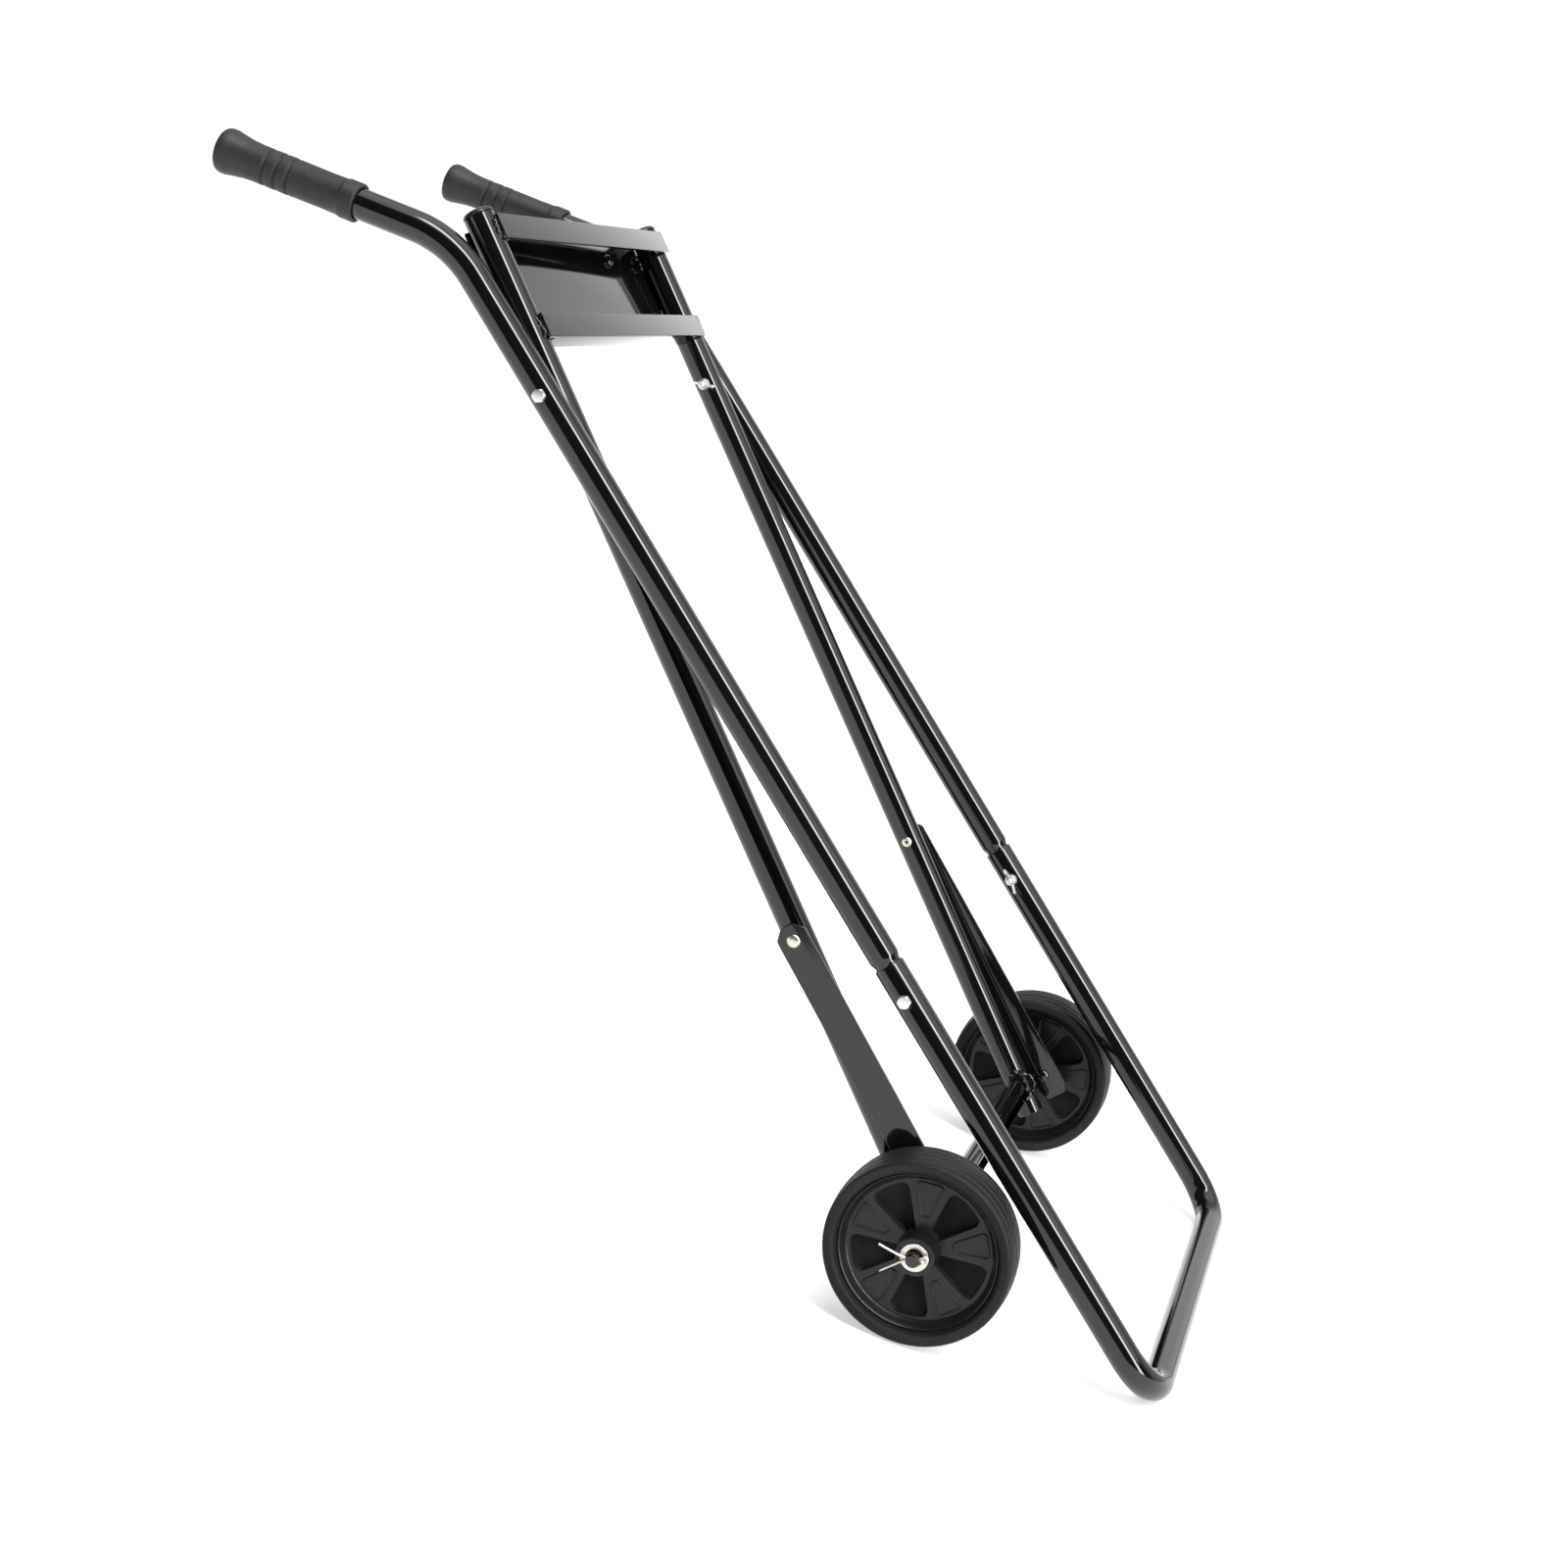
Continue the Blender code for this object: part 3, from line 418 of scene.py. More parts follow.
def paint_pocket_shade():
    """The sunk sectors get painted shade: a darker base colour than the panels, and a rougher finish."""
    tree = LOOKS["rim_plastic"].node_tree
    shader = tree.nodes["Principled BSDF"]
    place = add(tree, "ShaderNodeUVMap", uv_map="around")
    deep = add(tree, "ShaderNodeSeparateXYZ", links={"Vector": place.outputs[0]}).outputs["Y"]
    old = shader.inputs["Base Color"].links[0].from_socket
    shade = tree.nodes.new("ShaderNodeMix")
    shade.data_type = "RGBA"
    tree.links.new(deep, shade.inputs[0])
    tree.links.new(old, shade.inputs[6])
    # painted shade: the pocket floors are made near black where the recesses fall in shade
    shade.inputs[7].default_value = (0.0012, 0.0012, 0.0014, 1)
    tree.links.new(shade.outputs[2], shader.inputs["Base Color"])
    old = shader.inputs["Roughness"].links[0].from_socket
    extra = math_node(tree, "MULTIPLY", deep, 0.5)
    tree.links.new(math_node(tree, "ADD", old, extra, clamp=True), shader.inputs["Roughness"])


def tyre_ridges():
    """Fine moulded ridges across the side walls: a wave round the wheel, kept to one band."""
    material = LOOKS["tyre_rubber"]
    tree = material.node_tree
    bump = next(n for n in tree.nodes if n.type == "BUMP")
    old = bump.inputs["Height"].links[0].from_socket
    place = add(tree, "ShaderNodeUVMap", uv_map="around")
    parts = add(tree, "ShaderNodeSeparateXYZ", links={"Vector": place.outputs[0]})
    wave = math_node(tree, "SINE", math_node(tree, "MULTIPLY", parts.outputs["X"], 2 * math.pi * 380), 0.0)
    band = add(tree, "ShaderNodeMapRange", {"From Min": 0.62, "From Max": 0.70},
               {"Value": parts.outputs["Y"]})
    ridges = math_node(tree, "MULTIPLY", math_node(tree, "MULTIPLY", wave, band.outputs[0]), 0.16)
    tree.links.new(math_node(tree, "ADD", old, ridges), bump.inputs["Height"])


paint_pocket_shade()
tyre_ridges()
print("finishes:", sorted(LOOKS))

# %% [markdown]
# ## The foot
# The foot is one length of tube bent twice, tightly.  Thin tube bent that tightly crumples a
# little on the inside of the bend and flattens on the outside, so the radius of the section is
# changed round the bend instead of staying a perfect circle.

# %% Foot tube
HANDLE_X = 222.5
SOCKET = 400.0
FOOT_BEND = 42.0


def foot_radii(tangents, count):
    """Radius, less a dent inside each bend with ripples along it, less a flat outside it."""
    turn = np.degrees(np.arctan2(tangents[:, 2], tangents[:, 0])) + 90
    share = np.where(turn < 90, turn, turn - 90) / 90
    middle = np.sin(np.pi * np.clip(share, 0, 1)) ** 2
    middle = np.where((turn < 1) | (turn > 179) | (abs(turn - 90) < 0.5), 0, middle)[:, None]
    t = circle(count)[None, :]
    inside = np.clip(np.sin(t), 0, 1) ** 3
    outside = np.clip(-np.sin(t), 0, 1) ** 2
    ripple = np.sin(2 * np.pi * 3.5 * share)[:, None] * 0.55
    lop = 0.25 * np.sin(2 * t + 6 * share[:, None])
    return TUBE_R - middle * (inside * (1.5 + ripple + lop) + outside * 0.7 - 0.35 * np.cos(t) ** 4)


FOOT_CORNERS = [(-HANDLE_X, 0, SOCKET), (-HANDLE_X, 0, 0), (HANDLE_X, 0, 0), (HANDLE_X, 0, SOCKET)]
stations, tangents = route(FOOT_CORNERS, [FOOT_BEND, FOOT_BEND], 44)
foot = pipe(CART, stations, tangents, foot_radii(tangents, 64), (0, 1, 0), 64, lip=0.9)
piece("foot_tube", [foot], "paint", "handle_frame", "foot_frame", crease=50)

# %% [markdown]
# ## Handle tubes
# Each handle tube is swaged to a smaller size at its lower end so that it slips into the foot;
# the step is a smooth S-curve just above the mouth.  The upper end is bent back for the grip.

# %% Handle tubes
NECK_R = 10.6
NECK = 7.0
MOUTH_GAP = 0.3
BEND_ALONG = 1058.0
BEND_ANGLE = math.radians(37)
GRIP_START = 83.0
TUBE_IN_GRIP = 119.0
SPIGOT_DEPTH = 62.0
HANDLE_DIR = np.array([0, math.sin(BEND_ANGLE), math.cos(BEND_ANGLE)])


def handle_tube(x):
    """Radius follows a smooth step over the neck, by height along the tube."""
    rise = np.linspace(SOCKET + MOUTH_GAP, SOCKET + MOUTH_GAP + NECK, 14)
    straight = np.stack([np.full_like(rise, x), rise * 0, rise], 1)
    corner = np.array([x, 0, BEND_ALONG])
    end = corner + HANDLE_DIR * (GRIP_START + TUBE_IN_GRIP)
    points = np.concatenate([[(x, 0, SOCKET - SPIGOT_DEPTH)], straight, [corner, end]])
    path, ahead = route(points, [0] * len(rise) + [100.0], 32)
    share = np.clip((path[:, 2] - SOCKET - MOUTH_GAP) / NECK, 0, 1)
    radii = NECK_R + (TUBE_R - NECK_R) * share * share * (3 - 2 * share)
    return pipe(CART, path, ahead, radii, (1, 0, 0), 56)


for word, sign in SIDES:
    tube = handle_tube(sign * HANDLE_X)
    piece(word + "_handle_pipe", [tube], "paint", "handle_frame", word + "_handle_tube")

# %% [markdown]
# ## Grips
# A push-on rubber grip: a stepped collar where the tube enters, a slightly swelling body with
# three grooves, and a flared, closed end.  It is lathe work with every edge eased, because
# moulded rubber has no sharp edges.

# %% Grips
GRIP_PROFILE = [(12.9, 0.0), (14.6, 0.0), (15.75, 0.8), (15.75, 13.0), (14.9, 14.4), (14.6, 30.0),
                (14.8, 56.6)]
for groove in (58.0, 69.0, 80.0):
    GRIP_PROFILE += [(14.95, groove), (13.3, groove + 0.9), (13.4, groove + 2.2), (15.05, groove + 2.9)]
GRIP_PROFILE += [(15.0, 92.0), (15.5, 101.0), (17.1, 111.5), (18.2, 117.0), (18.2, 121.5), (17.0, 124.3),
                 (12.0, 125.0), (3.0, 125.0), (2.4, 124.2), (2.4, 120.4), (12.9, 120.0)]

for word, sign in SIDES:
    start = np.array([sign * HANDLE_X, 0, BEND_ALONG]) + HANDLE_DIR * GRIP_START
    stand = bench_at(CART, start, HANDLE_DIR, (1, 0, 0), np.cross(HANDLE_DIR, (1, 0, 0)))
    sleeve = turned(stand, soften(GRIP_PROFILE, 1.1, 5), 96, wrap=True)
    piece(word + "_grip_sleeve", [sleeve], "grip_rubber", "handle_frame", word + "_grip", crease=60)

# %% [markdown]
# ## Motor tubes and their caps
# The inner frame's tubes are straight, open at the foot, and closed at the top by a moulded
# plug whose rim stands a hair proud of the tube.

# %% Motor tubes and caps
MOTOR_X = 196.0
MOTOR_TOP = 152.0
MOTOR_FOOT = 756.0
CAP_PROFILE = [(0.6, -12.0), (9.8, -12.0), (10.6, -11.0), (10.6, 0.25), (12.6, 0.25), (12.6, 1.5),
               (11.4, 3.3), (8.6, 4.6), (4.8, 5.1), (0.6, 5.2)]

for word, sign in SIDES:
    path, ahead = route([(sign * MOTOR_X, 0, MOTOR_TOP), (sign * MOTOR_X, 0, -MOTOR_FOOT)], [])
    tube = pipe(MOTOR, path, ahead, np.full(2, TUBE_R), (1, 0, 0), 56)
    piece(word + "_motor_pipe", [tube], "paint", "motor_frame", word + "_motor_tube")
    stand = bench_at(MOTOR, (sign * MOTOR_X, 0, MOTOR_TOP), (0, 0, 1), (1, 0, 0), (0, 1, 0))
    plug = turned(stand, soften(CAP_PROFILE, 0.8, 4, closed=False), 64)
    piece(word + "_cap_plug", [plug], "cap_plastic", "motor_frame", word + "_top_cap")

# %% [markdown]
# ## Motor bars and back plate
# Two strips of steel cross the front of the motor tubes, each with a flange folded back between
# them, and a sheet closes the back.  The motor's clamp grips this sandwich.  The strips are
# outlines pushed across the cart, with rounded rims that catch the light as real edges do.

# %% Bars and plate
BAR_HEIGHT = 20.5
BAR_THICK = 3.6
UPPER_BAR_UP = 137.0
LOWER_BAR_UP = 52.5
PLATE_UP = 98.0
BAR_FACE = TUBE_R + 0.3
BAR_FLANGE = 18.0


def bar(up, edge):
    """Strip in front of the tubes and the flange folded back from its top (1) or its foot (-1)."""
    low = up - BAR_HEIGHT / 2
    outside = up + edge * BAR_HEIGHT / 2
    inside = outside - edge * 2.9
    strip = soften([(BAR_FACE, low), (BAR_FACE + BAR_THICK, low), (BAR_FACE + BAR_THICK, low + BAR_HEIGHT),
                    (BAR_FACE, low + BAR_HEIGHT)], 0.9, 4)
    root = BAR_FACE + BAR_THICK - 0.6
    tip = BAR_FACE - BAR_FLANGE
    shelf = soften([(root, outside), (root, inside), (tip, inside), (tip, outside)], 0.7, 4)
    return [slab(MOTOR, strip, -199, 199), slab(MOTOR, shelf, -183.2, 183.2)]


piece("upper_bar_strip", bar(UPPER_BAR_UP, 1), "paint", "motor_frame", "upper_motor_bar")
piece("lower_bar_strip", bar(LOWER_BAR_UP, -1), "paint", "motor_frame", "lower_motor_bar")

PLATE_EDGE = soften([(-202, -46), (202, -46), (202, 46), (-202, 46)], 3.0, 6)
stand = bench_at(MOTOR, (0, 0, PLATE_UP), (0, -1, 0), (1, 0, 0), (0, 0, 1))
sheet = slab(stand, PLATE_EDGE, TUBE_R + 0.3, TUBE_R + 2.8)
DOME = [(0.4, 4.0), (3.2, 3.6), (5.0, 2.5), (6.0, 0.9), (6.1, 0.0), (3.0, -0.2), (0.4, -0.2)]
stand = bench_at(MOTOR, (105, -(TUBE_R + 0.2), PLATE_UP + 30.4), (0, 1, 0), (1, 0, 0), (0, 0, 1))
stud = turned(stand, soften(DOME, 0.6, 4, closed=False), 40)
piece("back_sheet", [sheet, stud], "paint", "motor_frame", "back_plate")

# %% [markdown]
# ## Weld beads
# The frame is welded by hand and painted over, and the beads are what give it away: lumpy
# ropes with a ripple at every step of the torch.  A bead is a sweep along the seam whose radius
# follows the ripple plus smoothed random lumps from a fixed seed.

# %% Weld beads
def bead(bench, path, radius, seed, count=20, steps=90, closed=False):
    """Radius = base x (1 + ripple along the seam + slow random lumps), tapering at free ends."""
    rng = np.random.default_rng(seed)
    path = np.asarray(path, float)
    share = np.linspace(0, 1, steps, endpoint=not closed)
    if closed:
        path = np.concatenate([path, path[:1]])
    grid = np.linspace(0, 1, len(path))
    line = np.stack([np.interp(share, grid, path[:, k]) for k in range(3)], 1)
    wander = [np.interp(share * 9 % 9, np.arange(10), np.r_[rng.normal(0, 0.35, 9), 0]) for _ in range(3)]
    line += np.stack(wander, 1)
    ahead = np.roll(line, -1, 0) - np.roll(line, 1, 0)
    if not closed:
        ahead[0] = line[1] - line[0]
        ahead[-1] = line[-1] - line[-2]
    ahead /= np.linalg.norm(ahead, axis=1)[:, None]
    length = np.linalg.norm(np.diff(line, axis=0), axis=1).sum()
    ripple = 0.10 * np.abs(np.sin(np.pi * share * length / 2.6))
    lumps = rng.normal(0, 1, (steps, count))
    soft = np.fft.fft2(lumps)
    fx = np.fft.fftfreq(steps)[:, None] * steps
    fy = np.fft.fftfreq(count)[None, :] * count
    soft = np.real(np.fft.ifft2(soft * np.exp(-(fx / (length / 4.5)) ** 2 - (fy / 2.2) ** 2)))
    soft *= 0.22 / soft.std()
    taper = 1.0 if closed else np.sqrt(np.clip(np.minimum(share, 1 - share) * 7, 0.02, 1))[:, None]
    radii = radius * (1 + ripple[:, None] + np.clip(soft, -0.5, 0.6)) * taper
    side = np.cross(ahead, np.array([0.31, 0.77, 0.55]))
    side /= np.linalg.norm(side, axis=1)[:, None]
    return swept(bench, line, ahead, radii, side, count, wrap=closed)


beads = []
for _, side in SIDES:
    for number, up in enumerate((UPPER_BAR_UP, LOWER_BAR_UP)):
        inner = side * (MOTOR_X - TUBE_R - 0.4)
        outer_x = side * (MOTOR_X + 4.6)
        beads.append(bead(MOTOR, [(inner, 8.5, up - 10), (inner, 10.2, up - 3), (inner, 10.6, up + 4),
                                  (inner, 9.0, up + 11)], 2.5, 10 + number + 5 * side))
        beads.append(bead(MOTOR, [(outer_x, 11.6, up - 9), (outer_x, 11.9, up), (outer_x, 11.6, up + 9)],
                          1.7, 30 + number + 5 * side))
    seam = side * (MOTOR_X - TUBE_R - 0.2)
    beads.append(bead(MOTOR, [(seam, -11.4, PLATE_UP - 44), (seam + side, -11.8, PLATE_UP - 30),
                              (seam, -11.3, PLATE_UP - 18)], 2.3, 50 + side))
    beads.append(bead(MOTOR, [(seam, -11.4, PLATE_UP + 22), (seam, -11.6, PLATE_UP + 38)], 2.1, 60 + side))
piece("bar_welds", beads, "paint", "motor_frame", crease=80)

# %% [markdown]
# ## Cross tube, axle and struts
# A housing tube is butted between the motor tubes and welded all round; the axle runs through
# it.  A flat strut is riveted outside each motor tube and runs down past the axle.

# %% Cross tube, axle, struts and rivets
CROSS_R = 11.0
AXLE_R = 6.0
AXLE_DOWN = 728.0
AXLE_FRONT = 4.0
AXLE_HALF = 274.6
RIVET_DOWN = 470.0
STRUT_IN = MOTOR_X + TUBE_R + 0.3
STRUT_OUT = STRUT_IN + 3.5
AXLE_BENCH = (AXLE, np.array([ACROSS, FRONT, UP]))


def cross_tube():
    """Section swept across, each end ring dished to the round of the tube it meets."""
    t = circle(72)
    depth = CROSS_R * np.cos(t)
    cope = MOTOR_X - np.sqrt((TUBE_R + 0.3) ** 2 - (depth + AXLE_FRONT) ** 2)
    ring = np.stack([np.ones_like(t), CROSS_R * np.cos(t), CROSS_R * np.sin(t)], 1)
    bore = ring * (1, 0.7, 0.7)
    rings = [ring * (1, 1, 1), ring, bore, bore]
    reach = [-cope, cope, cope, -cope]
    grid = np.stack([np.column_stack([x, r[:, 1], r[:, 2]]) for x, r in zip(reach, rings)])
    return surface(world(AXLE_BENCH, grid), wrap=True)


rings = []
for _, side in SIDES:
    t = circle(40)
    depth = (CROSS_R + 0.6) * np.cos(t)
    face = side * (MOTOR_X - np.sqrt(np.clip((TUBE_R + 0.6) ** 2 - (depth + AXLE_FRONT) ** 2, 4, None)) - 0.3)
    seam = np.column_stack([face, depth, (CROSS_R + 0.6) * np.sin(t)])
    rings.append(bead(AXLE_BENCH, seam, 1.9, 70 + side, 18, 150, closed=True))
    blob = np.array([(side * 181.2, 9.0, 11.5), (side * 183.0, 4.0, 14.5), (side * 184.5, -3.0, 13.8)])
    rings.append(bead(AXLE_BENCH, blob, 3.0, 80 + side, 20, 60))
piece("cross_pipe", [cross_tube()] + rings, "paint", "motor_frame", "cross_tube", crease=70)

ROD = [(0.5, -AXLE_HALF), (AXLE_R - 1.6, -AXLE_HALF), (AXLE_R - 0.4, -AXLE_HALF + 0.7),
       (AXLE_R, -AXLE_HALF + 2.2), (AXLE_R, AXLE_HALF - 2.2), (AXLE_R - 0.4, AXLE_HALF - 0.7),
       (AXLE_R - 1.6, AXLE_HALF), (0.5, AXLE_HALF)]
piece("axle_rod", [turned(AXLE_BENCH, soften(ROD, 0.6, 4, closed=False), 64)], "paint", "motor_frame", "axle")

STRUT_W = 26.5
STRUT_HALF = STRUT_W / 2
strut_front = AXLE_FRONT + AXLE_R + 0.3 + STRUT_HALF
strut_slope = math.atan2(strut_front, AXLE_DOWN - RIVET_DOWN)
strut_length = math.hypot(strut_front, AXLE_DOWN - RIVET_DOWN) + 20
spread = math.asin(3.9 / strut_length)
STRUT_EDGE = soften([(-13.25, 5.4), (-5.4, 13.2), (5.4, 13.2), (13.25, 5.4), (13.25, -strut_length + 4),
                     (9.5, -strut_length - 6), (-9.5, -strut_length - 6), (-13.25, -strut_length + 4)],
                    2.2, 6)
LUMP = [(0.4, 3.6), (3.4, 3.2), (5.2, 1.6), (5.8, -0.4), (0.4, -0.4)]

for word, side in SIDES:
    lean = np.array([0, math.cos(strut_slope), math.sin(strut_slope)])
    rise = np.array([0, -math.sin(strut_slope), math.cos(strut_slope)])
    outwards = np.array([side, 0, 0])
    tipped = outwards * math.cos(spread) + rise * math.sin(spread)
    along = rise * math.cos(spread) - outwards * math.sin(spread)
    hinge = np.array([0, 0, -RIVET_DOWN]) + (outwards - tipped) * STRUT_IN + (rise - along) * STRUT_HALF
    plate = slab(bench_at(MOTOR, hinge, tipped, lean, along), STRUT_EDGE, STRUT_IN, STRUT_OUT, 0.5)
    low = STRUT_IN + math.sin(spread) * (731 - RIVET_DOWN + STRUT_HALF)
    dome = bench_at(MOTOR, (side * low, 21.6, -731), -outwards, (0, 1, 0), (0, 0, 1))
    lump = turned(dome, soften(LUMP, 0.9, 5, closed=False), 40)
    piece(word + "_strut_bar", [plate, lump], "paint", "motor_frame", word + "_strut")
    tail = MOTOR_X - TUBE_R - 0.2
    head = STRUT_OUT + 0.5
    rivet = [(0.4, head + 2.4), (2.6, head + 2.1), (4.6, head + 1.3), (5.5, head + 0.5), (5.5, head),
             (3.0, head - 0.1), (3.0, tail), (4.5, tail), (4.7, tail - 0.8), (3.6, tail - 1.7),
             (2.0, tail - 1.8), (1.6, tail - 1.2), (1.5, tail + 9.0), (0.4, tail + 9.2)]
    stand = bench_at(MOTOR, (0, 0, -RIVET_DOWN), (side, 0, 0), (0, 1, 0), (0, 0, 1))
    piece(word + "_rivet", [turned(stand, soften(rivet, 0.4, 4, closed=False), 48)], "nickel", "motor_frame",
          word + "_strut_rivet")

# %% [markdown]
# ## Tyres
# A solid rubber tyre: a crowned tread with shallow grooves round it, rounded shoulders, and flat
# side walls whose fine moulded ridges come from the finish.  It is one profile turned about the
# axle, and its second map coordinate marks the side walls inside 73.6 mm, which places the ridges.

# %% Tyres
WHEEL_X = 241.0
TREAD = [(65.12, 14.3), (65.5, 15.6), (65.9, 18.4), (66.9, 20.6), (68.8, 21.6), (73.4, 21.9), (75.2, 20.6),
         (76.0, 18.2), (76.3, 14.4), (75.7, 13.8), (75.7, 13.2), (76.5, 12.6), (76.8, 5.4), (76.2, 4.8),
         (76.2, 4.2), (77.0, 3.6)]


def wheel_bench(side):
    """First direction points outwards from the cart, the third up its handle tubes."""
    return AXLE + ACROSS * side * WHEEL_X * MM, np.array([ACROSS * side, (0, -1, 0), (0, 0, 1.0)])


tyre_half = np.array(TREAD)
tyre_outline = soften(np.concatenate([tyre_half, tyre_half[::-1] * (1, -1)]), 0.8, 4)
TYRE_COLUMNS = 288
for word, side in SIDES:
    ring = turned(wheel_bench(side), tyre_outline, TYRE_COLUMNS, wrap=True)
    reach = np.repeat(tyre_outline[:, 0], TYRE_COLUMNS)
    wall = np.repeat(np.abs(tyre_outline[:, 1]) > 20.5, TYRE_COLUMNS)
    around = np.tile(np.arange(TYRE_COLUMNS) / TYRE_COLUMNS, len(tyre_outline))
    inside = np.where(wall & (reach < 73.6), 1.0, 0.0)
    piece(word + "_tyre_ring", [ring], "tyre_rubber", word + "_wheel", word + "_tyre", crease=60,
          uv=np.stack([around, inside], 1))

# %% [markdown]
# ## Wheel centres
# The moulded centre has ten sectors: five raised panels, each with a thin raised outline, and
# five sunk ones with rounded outer corners between them.  Height is a function of radius and
# angle.  The walls between panels run straight out from the hub, so the grid's columns are
# crowded at the sector edges and every wall falls on a column, which keeps it crisp.

# %% Wheel centres
PANELS = 5
WEB = 7.5
SUNK = 2.6
HUB_R = 15.8
HUB_FACE = 24.0
POCKET_OUT = 56.0
PANEL_TURN = math.radians(24)


def smooth(low, high, value):
    s = np.clip((value - low) / (high - low), 0, 1)
    return s * s * (3 - 2 * s)


def sector_columns():
    """Angles of one half-sector, crowded towards its edge, mirrored and repeated ten times."""
    half = np.array([0.0, 0.14, 0.28, 0.42, 0.56, 0.68, 0.78, 0.86, 0.91, 0.94, 0.96, 0.985])
    sector = np.concatenate([-half[:0:-1], half]) * math.pi / (2 * PANELS)
    middles = np.arange(2 * PANELS) * math.pi / PANELS
    return (middles[:, None] + sector[None, :]).ravel(), np.tile(sector, 2 * PANELS), \
        np.repeat(np.arange(2 * PANELS) % 2, len(sector))


def rim_height(r, offset, sunk):
    """Height above the middle plane of the wheel at radius r, offset within a sector."""
    lip = 15.0 - (15.0 - WEB) * smooth(63.8, 57.6, r) ** 0.8
    lip = np.where(r > 64.0, 15.0 - 0.6 * (r - 64.0), lip)
    web = np.where(r > 57.6, lip, WEB)
    side_gap = (math.pi / (2 * PANELS) - np.abs(offset)) * r
    corner = 7.5
    dx = np.clip(corner - side_gap, 0, None)
    dy = np.clip(corner - (POCKET_OUT - r), 0, None)
    reach = np.where((dx > 0) & (dy > 0), corner - np.hypot(dx, dy), np.minimum(side_gap, POCKET_OUT - r))
    floor = SUNK - 2.2 * smooth(40.0, 22.0, r) + 0.9 * smooth(46.0, 55.0, r)
    pocket = web - (web - floor) * smooth(0.15, 1.25, reach)
    height = np.where(sunk == 1, pocket, web)
    hub = HUB_FACE - 0.5 * smooth(HUB_R - 1.0, HUB_R, r)
    hub_wall = hub + (height - hub) * smooth(HUB_R, HUB_R + 1.8, r)
    return np.where(r < HUB_R, hub, hub_wall)


def rim(bench, turn):
    """Front face from the bore out, then the back face in again, as one closed skin."""
    angle, offset, sunk = sector_columns()
    hub_rows = [6.4, 7.0, 10.0, 13.0, HUB_R - 1.0, HUB_R - 0.5, HUB_R]
    rows = np.concatenate([hub_rows, HUB_R + np.linspace(0.3, 1.8, 6), np.linspace(19.0, 45.0, 18),
                           np.linspace(46.0, 57.5, 26), np.linspace(57.9, 63.8, 14), [64.0, 64.6, 65.0]])
    r = rows[:, None]
    front = rim_height(r, offset[None, :], sunk[None, :])
    front[0] = HUB_FACE - 0.6
    front[-1] = 14.0
    radius = np.concatenate([rows, rows[::-1]])[:, None]
    height = np.concatenate([front, -front[::-1]])
    t = angle[None, :] + turn
    grid = np.stack([height, radius * np.cos(t), radius * np.sin(t)], -1)
    deep = (sunk[None, :] == 1) & (r > HUB_R + 0.4) & (front < WEB - 0.8)
    return surface(world(bench, grid), wrap=True), np.concatenate([deep, deep[::-1]]).ravel().astype(float)


def outline_rib(bench, middle, face):
    """Thin raised line: a rounded trapezoid path with a small round section, half sunk."""
    corners = np.array([(28.0, -3.4), (55.4, -10.8), (55.4, 10.8), (28.0, 3.4)])
    path = soften(corners, 4.2, 9)
    gaps = np.linalg.norm(np.roll(path, -1, 0) - path, axis=1)
    at = np.r_[0, np.cumsum(gaps)]
    even = np.linspace(0, at[-1], 120, endpoint=False)
    looped = np.concatenate([path, path[:1]])
    y, z = (np.interp(even, at, looped[:, k]) for k in range(2))
    c, s = math.cos(middle), math.sin(middle)
    line = np.stack([np.full_like(y, face * (WEB + 0.1)), y * c - z * s, y * s + z * c], 1)
    ahead = np.roll(line, -1, 0) - np.roll(line, 1, 0)
    ahead /= np.linalg.norm(ahead, axis=1)[:, None]
    return swept(bench, line, ahead, np.full(len(line), 0.95), (1, 0, 0), 10, wrap=True)


for word, side in SIDES:
    stand = wheel_bench(side)
    turn = PANEL_TURN if side < 0 else math.pi - PANEL_TURN
    skin, deep = rim(stand, turn)
    parts = [skin]
    for k in range(PANELS):
        middle = turn + 2 * math.pi * k / PANELS
        parts += [outline_rib(stand, middle, 1), outline_rib(stand, middle, -1)]
    total_points = sum(len(part[0]) for part in parts)
    # the second map coordinate marks the pocket floors that get the painted shade
    mask = np.zeros((total_points, 2))
    mask[:len(deep), 1] = deep
    piece(word + "_wheel_centre", parts, "rim_plastic", word + "_wheel", word + "_rim", crease=42, uv=mask)

# %% [markdown]
# ## Washers and split pins
# A plain washer bears on each hub, and a split pin through the axle keeps the wheel on: a wire
# folded into an eye, its two legs bent apart on the far side.

# %% Washers and split pins
WASHER_IN = WHEEL_X + HUB_FACE + 0.3
PIN_X = AXLE_HALF - 4.4
PIN_R = 0.95
WASHER = [(6.9, 0.0), (11.5, 0.0), (11.5, 1.5), (6.9, 1.5)]
LEG = [(27.0, 10.9), (10.5, 2.6), (6.2, 1.1), (-7.0, 1.1), (-8.4, 2.4), (-10.6, 2.4), (-11.9, 0.0),
       (-10.6, -2.4), (-8.4, -2.4), (-7.0, -1.1), (6.2, -1.1), (10.5, -2.6), (27.0, -10.9)]
PIN_TURN = math.radians(17)

